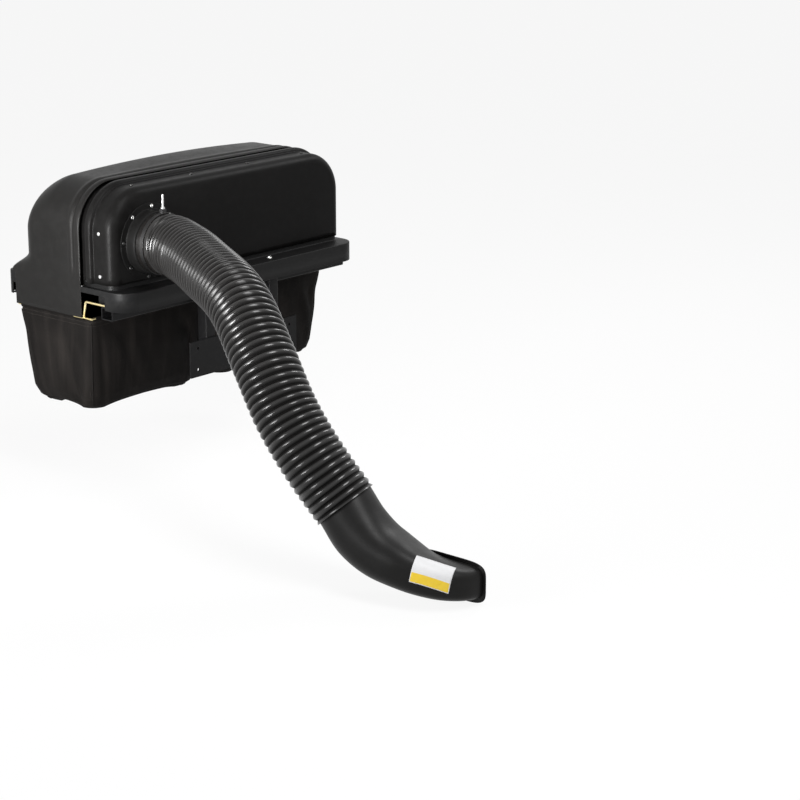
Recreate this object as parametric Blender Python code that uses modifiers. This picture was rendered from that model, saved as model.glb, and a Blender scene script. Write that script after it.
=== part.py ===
"""Twin grass bagger: a hood, two bags and a duct that hang behind a garden machine.

A two-part plastic hood stands on a steel frame and feeds two hanging cloth bags. A ribbed duct
leads down from the hood's inlet collar to a moulded boot low down on the right. The rear half
of the hood is a lid, hinged along its top front edge.

Metres, +Z up, +X to the left, +Y to the rear. The origin is the middle of the
front face of the mount plate, where the frame is bolted on.
"""

import math

import bmesh
import bpy
import numpy as np
from mathutils import Matrix, Vector

# Clearances
FIT = 0.0003
RUNNING = 0.0002

# Support frame
PLATE_WIDTH = 0.500
PLATE_HEIGHT = 0.120
PLATE_THICK = 0.006
PLATE_HOLE = 0.0055
PLATE_HOLE_X = 0.215
PLATE_HOLE_Z = 0.036
UPRIGHT_X = 0.150
TUBE = 0.040
TUBE_WALL = 0.003
BEAM_DEPTH = 0.050
BEAM_TOP = 0.2185
REAR_BEAM = 0.025
REAR_BEAM_DEPTH = 0.035

# Ledges under the hood
SHELF_Z = 0.272
LEDGE_HEIGHT = 0.062
LEDGE_REACH = 0.067
LEDGE_CORNER = 0.066
LEDGE_WALL = 0.003
UPSTAND = 0.022
REAR_LEDGE_REACH = 0.080
REAR_LEDGE_HEIGHT = 0.077
REAR_LEDGE_CORNER = 0.030
REAR_LEDGE_RETURN = 0.090
REAR_LEDGE_SETBACK = 0.015
NOTCH_HEIGHT = 0.044
NOTCH_LENGTH = 0.110
REAR_NOTCH_LENGTH = 0.060

# Front half of the hood
HOOD_HALF = 0.545
HOOD_TOP = 0.598
HOOD_CORNER = 0.150
HOOD_WALL = 0.004
FACE_Y = 0.050
FACE_FILLET = 0.034
BAND_STEP = 0.013
BAND_WIDTH = 0.048
BEAD_WIDTH = 0.031
UNDER_LIP_STEP = 0.020
UNDER_LIP_REACH = 0.062
HOOD_SHADOW_GAP = 0.015

# Rear half of the hood, the lid
LID_GAP = 0.025
LID_DEPTH = 0.297
LID_SIDE_ROUND = 0.085
LID_TOP_ROUND = 0.165
LID_LIP_STEP = 0.0045
LID_CROWN = 0.012
LID_FLARE = 0.030
SKIRT_DROP = 0.102
SKIRT_SETBACK = 0.012

# Hinge
HINGE_HALF = 0.300
KNUCKLES = 5
KNUCKLE_GAP = 0.0006
BARREL = 0.004
PIN = 0.002
LEAF = 0.0016
LEAF_WIDTH = 0.042

# Inlet collar and the clamp of the duct
INLET_X = -0.370
INLET_Z = 0.410
COLLAR_FLANGE = 0.124
COLLAR_FLANGE_THICK = 0.003
COLLAR_BOSS = 0.102
COLLAR_BOSS_LENGTH = 0.037
COLLAR_SPIGOT = 0.096
COLLAR_SPIGOT_LENGTH = 0.016
COLLAR_SCREWS = 8
COLLAR_SCREW_CIRCLE = 0.113
COLLAR_SCREW_TURN = -5.0
NECK_LENGTH = 0.052
NECK_WALL = 0.003
CLAMP_WIDTH = 0.014
CLAMP_THICK = 0.0016
CLAMP_SETBACK = 0.026
CLAMP_HEAD = 0.018
CLAMP_BOLT = 0.0035
CLAMP_BOLT_LENGTH = 0.055

# Duct
DUCT_CREST = 0.097
DUCT_ROOT = 0.0905
DUCT_BORE = 0.0865
DUCT_PITCH = 0.022
DUCT_SIDES = 18
NECK_CLEARANCE = 0.0015
DUCT_ROUTE = (
    (-0.400, -0.150, 0.403),
    (-0.470, -0.309, 0.386),
    (-0.585, -0.567, 0.329),
    (-0.650, -0.719, 0.209),
    (-0.680, -0.842, 0.066),
    (-0.675, -0.940, -0.050),
)
DUCT_END = (-0.650, -1.032, -0.163)
DUCT_END_DIRECTION = (0.19, -0.62, -0.76)

# Discharge boot: outer and inner edge in plan, height of the middle, height of the section
BOOT_ROUND = 0.0890
BOOT_WALL = 0.004
BOOT_SIDES = 28
BOOT_SECTIONS = (
    ((-0.738, -1.115), (-0.562, -1.077), -0.228, 0.172, 2.2),
    ((-0.733, -1.200), (-0.550, -1.127), -0.270, 0.150, 2.5),
    ((-0.718, -1.283), (-0.543, -1.160), -0.290, 0.134, 2.8),
    ((-0.685, -1.357), (-0.540, -1.187), -0.309, 0.120, 3.2),
    ((-0.625, -1.416), (-0.538, -1.205), -0.327, 0.108, 3.8),
    ((-0.570, -1.440), (-0.537, -1.212), -0.335, 0.102, 4.4),
)
OUTLET_X = -0.535
OUTLET_Y = (-1.444, -1.214)
OUTLET_Z = -0.337
OUTLET_HEIGHT = 0.101
OUTLET_FLANGE = 0.011
OUTLET_FLANGE_THICK = 0.004
LABEL_CENTRE = (-0.6676, -1.3673, -0.2834)
LABEL_NORMAL = (-0.72, -0.45, 0.53)
LABEL_LENGTH = 0.112
LABEL_WIDTH = 0.078
LABEL_THICK = 0.0004

# Bags and their wire frames
WIRE = 0.004
WIRE_Z = 0.168
WIRE_SIDE = 0.0085
WIRE_MIDDLE = 0.039
HOOK_RISE_Y = 0.180
HOOK_SLOPE = 0.012
REAR_HOOK_INSET = 0.0275
HOOK_TIP_Y = 0.073
FRONT_ROD_Y = 0.152
REAR_ROD_Y = 0.494
BAG_HEM = 0.005
BAG_BOTTOM = -0.136
BAG_WALL = 0.004
BAG_TAPER_SIDE = 0.020
BAG_TAPER_FRONT = 0.030
BAG_TAPER_REAR = 0.026
BAG_BULGE = 0.012
HANDLE_WIDTH = 0.014
HANDLE_HALF = 0.020
HANDLE_DROP = 0.014
HANDLE_INSET = 0.1165
HANDLE_SETBACK = 0.062
HANDLE_THICK = 0.002

# Hood brackets, stiffener and screws
BRACKET_WIDTH = 0.040
BRACKET_THICK = 0.003
STIFFENER_WIDTH = 0.030
SCREW_HEAD = 0.0060
SCREW_HEAD_HEIGHT = 0.0030
SCREW_SHANK = 0.0025
SCREW_LENGTH = 0.012
TOP_SCREW_SPACING = 0.262
TOP_SCREW_Y = 0.102
SIDE_SCREW_Z = (0.313, 0.450)
BOLT_HEAD = 0.0075
BOLT_HEAD_HEIGHT = 0.005
BOLT_SHANK = 0.0038
BOLT_LENGTH = 0.012
REAR_BOLT_X = 0.300

# Places that follow from the sizes above
SHOULDER = HOOD_TOP - HOOD_CORNER
BAND_FRONT = FACE_Y + FACE_FILLET
BAND_REAR = BAND_FRONT + BAND_WIDTH
BEAD_END = BAND_REAR + BEAD_WIDTH
LID_FRONT = BEAD_END + LID_GAP
LID_BACK = LID_FRONT + LID_DEPTH
SKIRT_END = LID_BACK + LID_FLARE - SKIRT_SETBACK
HOOD_FOOT = SHELF_Z + HOOD_SHADOW_GAP
LEDGE_FRONT = FACE_Y - LEDGE_REACH
LEDGE_END = LID_FRONT - 0.002
REAR_LEDGE_BACK = LID_BACK + REAR_LEDGE_REACH
REAR_LEDGE_HALF = HOOD_HALF - REAR_LEDGE_SETBACK
UPRIGHT_FRONT = PLATE_THICK + FIT
BEAM_FRONT = UPRIGHT_FRONT + TUBE + FIT
BEAM_BACK = BEAM_FRONT + BEAM_DEPTH
BEAM_BOTTOM = BEAM_TOP - TUBE
REAR_BEAM_BACK = REAR_LEDGE_BACK - LEDGE_WALL - FIT
REAR_BEAM_FRONT = REAR_BEAM_BACK - REAR_BEAM_DEPTH
BRACKET_TOP = SHOULDER + 0.012
BRACKET_SETBACK = LEDGE_WALL + FIT
STIFFENER_HALF = HOOD_HALF - HOOD_CORNER + 0.010
HINGE_Y = BEAD_END + 0.013
HINGE_Z = HOOD_TOP - UNDER_LIP_STEP + FIT + BARREL
COLLAR_FRONT = FACE_Y - FIT - COLLAR_FLANGE_THICK - COLLAR_BOSS_LENGTH
DUCT_START_Y = COLLAR_FRONT - FIT
NECK_OUTER = DUCT_BORE - NECK_CLEARANCE
CLAMP_INNER = DUCT_CREST + 0.0008
WIRE_X = HOOD_HALF - WIRE_SIDE
HOOK_Z = BEAM_TOP + FIT + WIRE
REAR_HOOK_Y = REAR_BEAM_FRONT - WIRE - 0.003
REAR_HOOK_TIP_Y = REAR_BEAM_BACK - 0.019
BAG_TOP = WIRE_Z - WIRE - FIT

MODEL = "twin_bagger"


def clear_scene():
    """Removes everything that the file started with."""
    for obj in list(bpy.data.objects):
        bpy.data.objects.remove(obj, do_unlink=True)


def collection_named(name, hidden=False):
    made = bpy.data.collections.new(name)
    bpy.context.scene.collection.children.link(made)
    made.hide_render = hidden
    return made


clear_scene()
PARTS = collection_named(MODEL)
CUTTERS = collection_named(MODEL + "_cutters", hidden=True)


def material(name, colour, roughness, metallic=0.0):
    """A plain Principled material in the piece's own colour."""
    made = bpy.data.materials.new(name)
    made.use_nodes = True
    shader = made.node_tree.nodes["Principled BSDF"]
    shader.inputs["Base Color"].default_value = (*colour, 1.0)
    shader.inputs["Roughness"].default_value = roughness
    shader.inputs["Metallic"].default_value = metallic
    made.diffuse_color = (*colour, 1.0)
    return made


def moulded_black(name):
    return material(name, (0.018, 0.018, 0.018), 0.45)


def painted_black(name):
    return material(name, (0.020, 0.020, 0.021), 0.38)


def zinc(name):
    return material(name, (0.62, 0.60, 0.55), 0.32, 1.0)


def yellow_zinc(name):
    return material(name, (0.72, 0.63, 0.34), 0.30, 1.0)


def cloth_black(name):
    return material(name, (0.021, 0.019, 0.018), 0.85)


def add_object(name, mesh, surface, collection=None):
    obj = bpy.data.objects.new(name, mesh)
    (collection or PARTS).objects.link(obj)
    if surface:
        mesh.materials.append(surface)
    return obj


def mesh_of(name, work):
    """Turns a bmesh into a named mesh whose faces point outwards."""
    bmesh.ops.recalc_face_normals(work, faces=work.faces)
    mesh = bpy.data.meshes.new(name)
    work.to_mesh(mesh)
    work.free()
    return mesh


def smooth(obj, angle=35.0):
    obj.data.shade_smooth()
    obj.data.set_sharp_from_angle(angle=math.radians(angle))
    return obj


def helper(obj):
    """Marks an object as a cutter or a guide."""
    obj.hide_render = True
    obj.display_type = "WIRE"
    return obj


def box(name, low, high, surface, collection=None):
    work = bmesh.new()
    bmesh.ops.create_cube(work, size=1.0)
    size = Vector(high) - Vector(low)
    middle = (Vector(high) + Vector(low)) / 2
    bmesh.ops.scale(work, vec=size, verts=work.verts)
    bmesh.ops.translate(work, vec=middle, verts=work.verts)
    return add_object(name, mesh_of(name, work), surface, collection)


def cylinder(name, start, end, radius, surface, collection=None, sides=12):
    """A round bar between two points."""
    start, end = Vector(start), Vector(end)
    along = end - start
    work = bmesh.new()
    bmesh.ops.create_cone(
        work, cap_ends=True, segments=sides, radius1=radius, radius2=radius, depth=along.length
    )
    turn = along.to_track_quat("Z", "Y").to_matrix().to_4x4()
    bmesh.ops.transform(work, matrix=Matrix.Translation((start + end) / 2) @ turn, verts=work.verts)
    return add_object(name, mesh_of(name, work), surface, collection)


def grid(name, rings, surface, loop=True, join_ends=False, cap_start=False, cap_end=False,
         triangles=False, collection=None):
    """A skin through rings of points. join_ends closes it on itself, as a hollow tube's wall does."""
    work = bmesh.new()
    rows = [[work.verts.new(point) for point in ring] for ring in rings]
    count = len(rows[0])
    pairs = list(zip(rows, rows[1:]))
    if join_ends:
        pairs.append((rows[-1], rows[0]))
    for first, second in pairs:
        for i in range(count if loop else count - 1):
            j = (i + 1) % count
            if triangles:
                work.faces.new((first[i], first[j], second[j]))
                work.faces.new((first[i], second[j], second[i]))
            else:
                work.faces.new((first[i], first[j], second[j], second[i]))
    if cap_start:
        work.faces.new(rows[0])
    if cap_end:
        work.faces.new(rows[-1])
    return add_object(name, mesh_of(name, work), surface, collection)


def thicken(obj, wall, outward=False):
    """Gives an open skin its wall, on the inner side unless told otherwise."""
    solid = obj.modifiers.new("wall", "SOLIDIFY")
    solid.thickness = wall
    solid.offset = 1.0 if outward else -1.0
    solid.use_even_offset = True
    return obj


def combine(obj, tool, operation):
    """Cuts or joins with another object, which becomes a helper."""
    change = obj.modifiers.new(tool.name, "BOOLEAN")
    change.operation = operation
    change.object = tool
    change.solver = "EXACT"
    helper(tool)
    for owner in list(tool.users_collection):
        owner.objects.unlink(tool)
    CUTTERS.objects.link(tool)
    return obj


def cut_round(obj, start, end, radius, sides=12):
    tool = cylinder(f"cut_{obj.name}_{len(obj.modifiers)}", start, end, radius, None, CUTTERS, sides)
    return combine(obj, tool, "DIFFERENCE")


def cut_box(obj, low, high):
    tool = box(f"cut_{obj.name}_{len(obj.modifiers)}", low, high, None, CUTTERS)
    return combine(obj, tool, "DIFFERENCE")


def turned(name, profile, surface, origin, axis, steps=32, collection=None):
    """A closed profile of (radius, height) points, turned about an axis through origin."""
    work = bmesh.new()
    points = [work.verts.new((radius, 0.0, height)) for radius, height in profile]
    for i, point in enumerate(points):
        work.edges.new((point, points[(i + 1) % len(points)]))
    mesh = bpy.data.meshes.new(name)
    work.to_mesh(mesh)
    work.free()
    obj = add_object(name, mesh, surface, collection)
    obj.matrix_world = Matrix.Translation(origin) @ Vector(axis).to_track_quat("Z", "Y").to_matrix().to_4x4()
    screw = obj.modifiers.new("turn", "SCREW")
    screw.axis = "Z"
    screw.steps = steps
    screw.render_steps = steps
    screw.use_merge_vertices = True
    screw.merge_threshold = 0.0001
    return obj


def screw(name, seat, out, surface, head=SCREW_HEAD, height=SCREW_HEAD_HEIGHT, shank=SCREW_SHANK,
          length=SCREW_LENGTH, sides=10):
    """A screw whose head rests on the seat point, with its shank going in against out."""
    out = Vector(out).normalized()
    under = Vector(seat) + out * FIT
    body = cylinder(name, under, under + out * height, head, surface, None, sides)
    rod = cylinder(name + "_shank", under + out * height * 0.5, under - out * length, shank, None, CUTTERS, sides)
    return combine(body, rod, "UNION")


def smoothstep(low, high, value):
    share = np.clip((np.asarray(value, float) - low) / (high - low), 0.0, 1.0)
    return share * share * (3.0 - 2.0 * share)


def hood_outline(heights, inset=0.0, crown=0.0, arc_steps=6, top_steps=2):
    """The hood's outline seen from the front, from one foot up, over the top and down to the other.

    Straight sides with a point at each of the heights, round top corners, and a top that rises by
    crown in the middle.
    """
    half = HOOD_HALF - inset
    top = HOOD_TOP - inset
    corner = HOOD_CORNER - inset
    side = [(-half, height) for height in (*heights, SHOULDER)]
    arc = [
        (-half + corner - corner * math.cos(angle), SHOULDER + corner * math.sin(angle))
        for angle in np.linspace(0.0, math.pi / 2, arc_steps + 1)[1:]
    ]
    flat = [
        ((-half + corner) * (1.0 - share), top)
        for share in np.linspace(0.0, 1.0, top_steps // 2 + 1)[1:]
    ]
    left = side + arc + flat
    right = [(-x, z) for x, z in reversed(left[:-1])]
    points = np.array(left + right)
    reach = half - corner
    rise = crown * (1.0 - np.clip(np.abs(points[:, 0]) / reach, 0.0, 1.0) ** 2)
    points[:, 1] += np.where(points[:, 1] >= top - 1e-6, rise, 0.0)
    return points


def ring_at(outline, y):
    return [(x, y, z) for x, z in outline]


def front_hood():
    """The fixed half of the hood: a moulded shell, open behind and below."""
    profile = [
        (BEAD_END + UNDER_LIP_REACH, UNDER_LIP_STEP),
        (BEAD_END + 0.005, UNDER_LIP_STEP),
        (BEAD_END, 0.006),
        (BEAD_END - 0.004, 0.001),
        (BEAD_END - BEAD_WIDTH * 0.45, 0.0),
        (BAND_REAR + BEAD_WIDTH * 0.25, 0.002),
        (BAND_REAR + BEAD_WIDTH * 0.1, BAND_STEP * 0.75),
        (BAND_REAR, BAND_STEP),
    ]
    for angle in np.linspace(0.0, math.pi / 2, 6):
        profile.append((
            BAND_FRONT - FACE_FILLET * math.sin(angle),
            BAND_STEP + FACE_FILLET * (1.0 - math.cos(angle)),
        ))
    rings = [ring_at(hood_outline((HOOD_FOOT,), inset), y) for y, inset in profile]
    obj = grid("front_hood", rings, moulded_black("front_hood"), loop=False, cap_end=True)
    thicken(obj, HOOD_WALL)
    cut_round(
        obj, (INLET_X, FACE_Y - 0.02, INLET_Z), (INLET_X, FACE_Y + 0.02, INLET_Z),
        COLLAR_SPIGOT + 2 * FIT, 32,
    )
    for place, out in top_screw_seats() + side_screw_seats() + collar_screw_seats():
        cut_screw_hole(obj, place, out)
    return smooth(obj)


def cut_screw_hole(obj, place, out):
    out = Vector(out)
    cut_round(obj, Vector(place) + out * 0.01, Vector(place) - out * 0.012, SCREW_SHANK + FIT, 10)


def lid_low(z):
    """One at the foot of the lid, nothing above its flare."""
    return 1.0 - smoothstep(SHELF_Z + 0.012, SHELF_Z + 0.070, z)


def lid_ring(y, side_inset, top_inset, crown):
    """One section of the lid. Low down it flares out to the full width and a little backwards."""
    heights = [SHELF_Z - SKIRT_DROP, *(SHELF_Z + rise for rise in (-0.040, 0.011, 0.025, 0.042, 0.060, 0.090))]
    points = hood_outline(heights, 0.0, crown, top_steps=4)
    x, z = points[:, 0], points[:, 1]
    low = lid_low(z)
    wide = (HOOD_HALF - side_inset * (1.0 - low)) / HOOD_HALF
    pivot = SHELF_Z + 0.070
    squeeze = (HOOD_TOP - top_inset - pivot) / (HOOD_TOP - pivot)
    height = np.where(z > pivot, pivot + (z - pivot) * squeeze, z)
    back = y + LID_FLARE * low * smoothstep(LID_FRONT + 0.16, LID_BACK - 0.015, y)
    return list(zip(x * wide, back, height))


def rounding(y, radius):
    """How far a surface has come in at y, on a quarter round that ends at the lid's back."""
    run = max(0.0, y - (LID_BACK - radius))
    return radius - math.sqrt(max(0.0, radius * radius - run * run))


def rear_hood():
    """The lid: a moulded shell, open in front and below, with long skirts at its two ends."""
    rings = []
    for offset, inset in ((0.0, LID_LIP_STEP), (0.004, 0.0012), (0.014, 0.0), (0.031, 0.0040),
                          (0.044, 0.0005), (0.060, 0.0030)):
        rings.append(lid_ring(LID_FRONT + offset, inset, inset, LID_CROWN * offset / 0.2))
    for share in (0.48, 0.66, 0.79, 0.88, 0.95, 1.0):
        y = LID_FRONT + LID_DEPTH * share
        side = max(0.0030, rounding(y, LID_SIDE_ROUND))
        top = max(0.0030, rounding(y, LID_TOP_ROUND))
        rings.append(lid_ring(y, side, top, LID_CROWN))
    rim = np.array(rings[-1])
    foot = rim[0, 2]
    for share in (0.84, 0.66, 0.50, 0.40, 0.33, 0.26):
        z = foot + (rim[:, 2] - foot) * share
        rings.append(list(zip(rim[:, 0] * share, LID_BACK + LID_FLARE * lid_low(z), z)))
    obj = grid("rear_hood", rings, moulded_black("rear_hood"), loop=False, cap_end=True)
    thicken(obj, HOOD_WALL)
    cut_box(
        obj, (-HOOD_HALF - 0.1, SKIRT_END, foot - 0.1), (HOOD_HALF + 0.1, LID_BACK + 0.1, SHELF_Z + FIT)
    )
    return smooth(obj)


def u_outline(half, front, corner, end, steps=6):
    """Plan outline of a ledge: from one end along the side, round a corner, across, and back."""
    sign = 1.0 if end > front else -1.0
    points = [(-half, end), (-half, front + sign * corner)]
    for angle in np.linspace(0.0, math.pi / 2, steps + 1)[1:]:
        points.append((
            -half + corner * (1.0 - math.cos(angle)),
            front + sign * corner * (1.0 - math.sin(angle)),
        ))
    return np.array(points + [(-x, y) for x, y in reversed(points)])


def ledge(name, outer, inner, height, upstand):
    """A folded rim: outer skirt, flat shelf and an upstand at its inner edge."""
    rows = [
        [(x, y, SHELF_Z - height) for x, y in outer],
        [(x, y, SHELF_Z) for x, y in outer],
        [(x, y, SHELF_Z) for x, y in inner],
    ]
    if upstand:
        rows.append([(x, y, SHELF_Z + upstand) for x, y in inner])
    return thicken(grid(name, rows, painted_black(name), loop=False), LEDGE_WALL)


def front_ledge():
    outer = u_outline(HOOD_HALF, LEDGE_FRONT, LEDGE_CORNER, LEDGE_END)
    inner = u_outline(
        HOOD_HALF - BAND_STEP - HOOD_WALL - FIT, FACE_Y + HOOD_WALL + FIT, FACE_FILLET - 0.003, LEDGE_END
    )
    obj = ledge("front_ledge", outer, inner, LEDGE_HEIGHT, UPSTAND)
    for sign in (-1, 1):
        near, far = sorted((sign * (HOOD_HALF - 0.04), sign * (HOOD_HALF + 0.02)))
        cut_box(
            obj, (near, LEDGE_END - NOTCH_LENGTH, BEAM_TOP - 0.04),
            (far, LEDGE_END + 0.01, SHELF_Z - LEDGE_HEIGHT + NOTCH_HEIGHT),
        )
        cut_box(
            obj, (near, BEAD_END - 0.012, HOOD_FOOT - 2 * FIT), (far, LEDGE_END + 0.01, SHELF_Z + UPSTAND + 0.01)
        )
        cut_round(
            obj, (sign * UPRIGHT_X, UPRIGHT_FRONT + TUBE / 2, SHELF_Z - 0.02),
            (sign * UPRIGHT_X, UPRIGHT_FRONT + TUBE / 2, SHELF_Z + 0.02), BOLT_SHANK + FIT,
        )
    return obj


def rear_ledge():
    outer = u_outline(REAR_LEDGE_HALF, REAR_LEDGE_BACK, REAR_LEDGE_CORNER, REAR_LEDGE_BACK - REAR_LEDGE_RETURN)
    inner = u_outline(
        REAR_LEDGE_HALF - 0.030, REAR_LEDGE_BACK - 0.060, 0.012, REAR_LEDGE_BACK - REAR_LEDGE_RETURN
    )
    obj = ledge("rear_ledge", outer, inner, REAR_LEDGE_HEIGHT, 0.0)
    for sign in (-1, 1):
        near, far = sorted((sign * (REAR_LEDGE_HALF - 0.02), sign * (REAR_LEDGE_HALF + 0.02)))
        cut_box(
            obj, (near, REAR_LEDGE_BACK - REAR_LEDGE_RETURN - 0.01, BEAM_TOP - 0.03),
            (far, REAR_LEDGE_BACK - REAR_LEDGE_RETURN + REAR_NOTCH_LENGTH, BEAM_TOP + 0.014),
        )
        cut_round(
            obj, (sign * REAR_BOLT_X, REAR_LEDGE_BACK + 0.01, BEAM_TOP - REAR_BEAM / 2),
            (sign * REAR_BOLT_X, REAR_LEDGE_BACK - 0.02, BEAM_TOP - REAR_BEAM / 2), BOLT_SHANK + FIT,
        )
    return obj


def square_tube(name, low, high, along):
    """A square tube with open ends, running along one axis."""
    obj = box(name, low, high, painted_black(name))
    inner_low = [value + TUBE_WALL for value in low]
    inner_high = [value - TUBE_WALL for value in high]
    inner_low[along] = low[along] - 0.01
    inner_high[along] = high[along] + 0.01
    return cut_box(obj, inner_low, inner_high)


def support_frame():
    """Mount plate, two uprights, cross tube, spine and rear beam."""
    plate = box(
        "mount_plate", (-PLATE_WIDTH / 2, 0.0, -PLATE_HEIGHT / 2),
        (PLATE_WIDTH / 2, PLATE_THICK, PLATE_HEIGHT / 2), painted_black("mount_plate"),
    )
    for x in (-PLATE_HOLE_X, PLATE_HOLE_X):
        for z in (-PLATE_HOLE_Z, PLATE_HOLE_Z):
            cut_round(plate, (x, -0.01, z), (x, PLATE_THICK + 0.01, z), PLATE_HOLE)
    for side, sign in (("right", -1), ("left", 1)):
        upright = square_tube(
            f"upright_{side}",
            (sign * UPRIGHT_X - TUBE / 2, UPRIGHT_FRONT, -PLATE_HEIGHT / 2),
            (sign * UPRIGHT_X + TUBE / 2, UPRIGHT_FRONT + TUBE, SHELF_Z - LEDGE_WALL - FIT), 2,
        )
        cap_low = (sign * UPRIGHT_X - TUBE / 2 + 0.001, UPRIGHT_FRONT + 0.001, SHELF_Z - LEDGE_WALL - FIT - TUBE_WALL)
        cap_high = (sign * UPRIGHT_X + TUBE / 2 - 0.001, UPRIGHT_FRONT + TUBE - 0.001, SHELF_Z - LEDGE_WALL - FIT)
        combine(upright, box(f"cap_{side}", cap_low, cap_high, None, CUTTERS), "UNION")
        cut_round(
            upright, (sign * UPRIGHT_X, UPRIGHT_FRONT + TUBE / 2, SHELF_Z - 0.03),
            (sign * UPRIGHT_X, UPRIGHT_FRONT + TUBE / 2, SHELF_Z + 0.01), BOLT_SHANK + FIT,
        )
        screw(
            f"front_ledge_bolt_{side}", (sign * UPRIGHT_X, UPRIGHT_FRONT + TUBE / 2, SHELF_Z), (0, 0, 1),
            zinc(f"front_ledge_bolt_{side}"), BOLT_HEAD, BOLT_HEAD_HEIGHT, BOLT_SHANK, BOLT_LENGTH, 6,
        )
        screw(
            f"rear_ledge_bolt_{side}", (sign * REAR_BOLT_X, REAR_LEDGE_BACK, BEAM_TOP - REAR_BEAM / 2),
            (0, 1, 0), zinc(f"rear_ledge_bolt_{side}"), BOLT_HEAD, BOLT_HEAD_HEIGHT, BOLT_SHANK,
            BOLT_LENGTH, 6,
        )
    reach = HOOD_HALF - LEDGE_WALL - 0.0012
    square_tube("cross_tube", (-reach, BEAM_FRONT, BEAM_BOTTOM), (reach, BEAM_BACK, BEAM_TOP), 0)
    square_tube(
        "spine_tube", (-TUBE / 2, BEAM_BACK + FIT, BEAM_BOTTOM),
        (TUBE / 2, REAR_BEAM_FRONT - FIT, BEAM_TOP), 1,
    )
    rear = square_tube(
        "rear_beam", (-REAR_LEDGE_HALF + 0.012, REAR_BEAM_FRONT, BEAM_TOP - REAR_BEAM),
        (REAR_LEDGE_HALF - 0.012, REAR_BEAM_BACK, BEAM_TOP), 0,
    )
    for sign in (-1, 1):
        near, far = sorted((sign * (REAR_LEDGE_HALF - REAR_LEDGE_CORNER), sign * REAR_LEDGE_HALF))
        cut_box(
            rear, (near, REAR_BEAM_BACK - 0.008, BEAM_TOP - REAR_BEAM - 0.01),
            (far, REAR_BEAM_BACK + 0.01, BEAM_TOP + 0.01),
        )
        cut_round(
            rear, (sign * REAR_BOLT_X, REAR_LEDGE_BACK, BEAM_TOP - REAR_BEAM / 2),
            (sign * REAR_BOLT_X, REAR_LEDGE_BACK - 0.014, BEAM_TOP - REAR_BEAM / 2), BOLT_SHANK + FIT,
        )


def top_screw_seats():
    z = HOOD_TOP - BAND_STEP
    return [((n * TOP_SCREW_SPACING / 2, TOP_SCREW_Y, z), (0, 0, 1)) for n in (-3, -1, 1, 3)]


def side_screw_seats():
    x = HOOD_HALF - BAND_STEP
    y = BAND_FRONT + BRACKET_WIDTH / 2 + 0.0015
    return [((sign * x, y, z), (sign, 0, 0)) for sign in (-1, 1) for z in SIDE_SCREW_Z]


def collar_screw_seats():
    seats = []
    for n in range(COLLAR_SCREWS):
        angle = math.radians(COLLAR_SCREW_TURN + 360.0 * n / COLLAR_SCREWS)
        x = INLET_X + COLLAR_SCREW_CIRCLE * math.cos(angle)
        z = INLET_Z + COLLAR_SCREW_CIRCLE * math.sin(angle)
        seats.append(((x, FACE_Y - FIT - COLLAR_FLANGE_THICK, z), (0, -1, 0)))
    return seats


def hood_stays():
    """Flat bars inside the hood that its screws go into."""
    outer = HOOD_HALF - BAND_STEP - HOOD_WALL - FIT - BRACKET_SETBACK
    y = BAND_FRONT + 0.0015
    for side, sign in (("right", -1), ("left", 1)):
        near, far = sorted((sign * outer, sign * (outer - BRACKET_THICK)))
        bar = box(
            f"hood_bracket_{side}", (near, y, BEAM_TOP + FIT), (far, y + BRACKET_WIDTH, BRACKET_TOP),
            painted_black(f"hood_bracket_{side}"),
        )
        for place, out in side_screw_seats():
            if place[0] * sign > 0:
                cut_screw_hole(bar, place, out)
    top = HOOD_TOP - BAND_STEP - HOOD_WALL - FIT - BRACKET_SETBACK
    stiffener = box(
        "top_stiffener", (-STIFFENER_HALF, TOP_SCREW_Y - STIFFENER_WIDTH / 2, top - BRACKET_THICK),
        (STIFFENER_HALF, TOP_SCREW_Y + STIFFENER_WIDTH / 2, top), painted_black("top_stiffener"),
    )
    for place, out in top_screw_seats():
        cut_screw_hole(stiffener, place, out)
    for n, (place, out) in enumerate(top_screw_seats(), 1):
        screw(f"top_screw_{n}", place, out, zinc(f"top_screw_{n}"))
    for n, (place, out) in enumerate(side_screw_seats(), 1):
        screw(f"side_screw_{n}", place, out, zinc(f"side_screw_{n}"))


def hinge():
    """A long hinge in the groove between the two halves: lower leaf, upper leaf and pin."""
    length = 2 * HINGE_HALF / KNUCKLES
    axis = Vector((0.0, HINGE_Y, HINGE_Z))
    leaf_start = HINGE_Y + BARREL + 0.001
    levels = {
        "hinge_leaf_lower": (HINGE_Z - BARREL, HINGE_Z - BARREL + LEAF, 0),
        "hinge_leaf_upper": (HINGE_Z + BARREL - LEAF, HINGE_Z + BARREL, 1),
    }
    for name, (low, high, first) in levels.items():
        leaf = box(
            name, (-HINGE_HALF + KNUCKLE_GAP, leaf_start, low),
            (HINGE_HALF - KNUCKLE_GAP, leaf_start + LEAF_WIDTH, high), painted_black(name),
        )
        for n in range(first, KNUCKLES, 2):
            start = -HINGE_HALF + n * length + KNUCKLE_GAP
            end = start + length - 2 * KNUCKLE_GAP
            web = box(f"{name}_web_{n}", (start, HINGE_Y, low), (end, leaf_start + 0.002, high), None, CUTTERS)
            barrel = cylinder(
                f"{name}_barrel_{n}", axis + Vector((start, 0, 0)), axis + Vector((end, 0, 0)),
                BARREL, None, CUTTERS, 16,
            )
            combine(leaf, barrel, "UNION")
            combine(leaf, web, "UNION")
        cut_round(
            leaf, axis - Vector((HINGE_HALF + 0.01, 0, 0)), axis + Vector((HINGE_HALF + 0.01, 0, 0)),
            PIN + RUNNING, 16,
        )
    cylinder(
        "hinge_pin", axis - Vector((HINGE_HALF, 0, 0)), axis + Vector((HINGE_HALF, 0, 0)), PIN,
        zinc("hinge_pin"), None, 12,
    )


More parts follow.
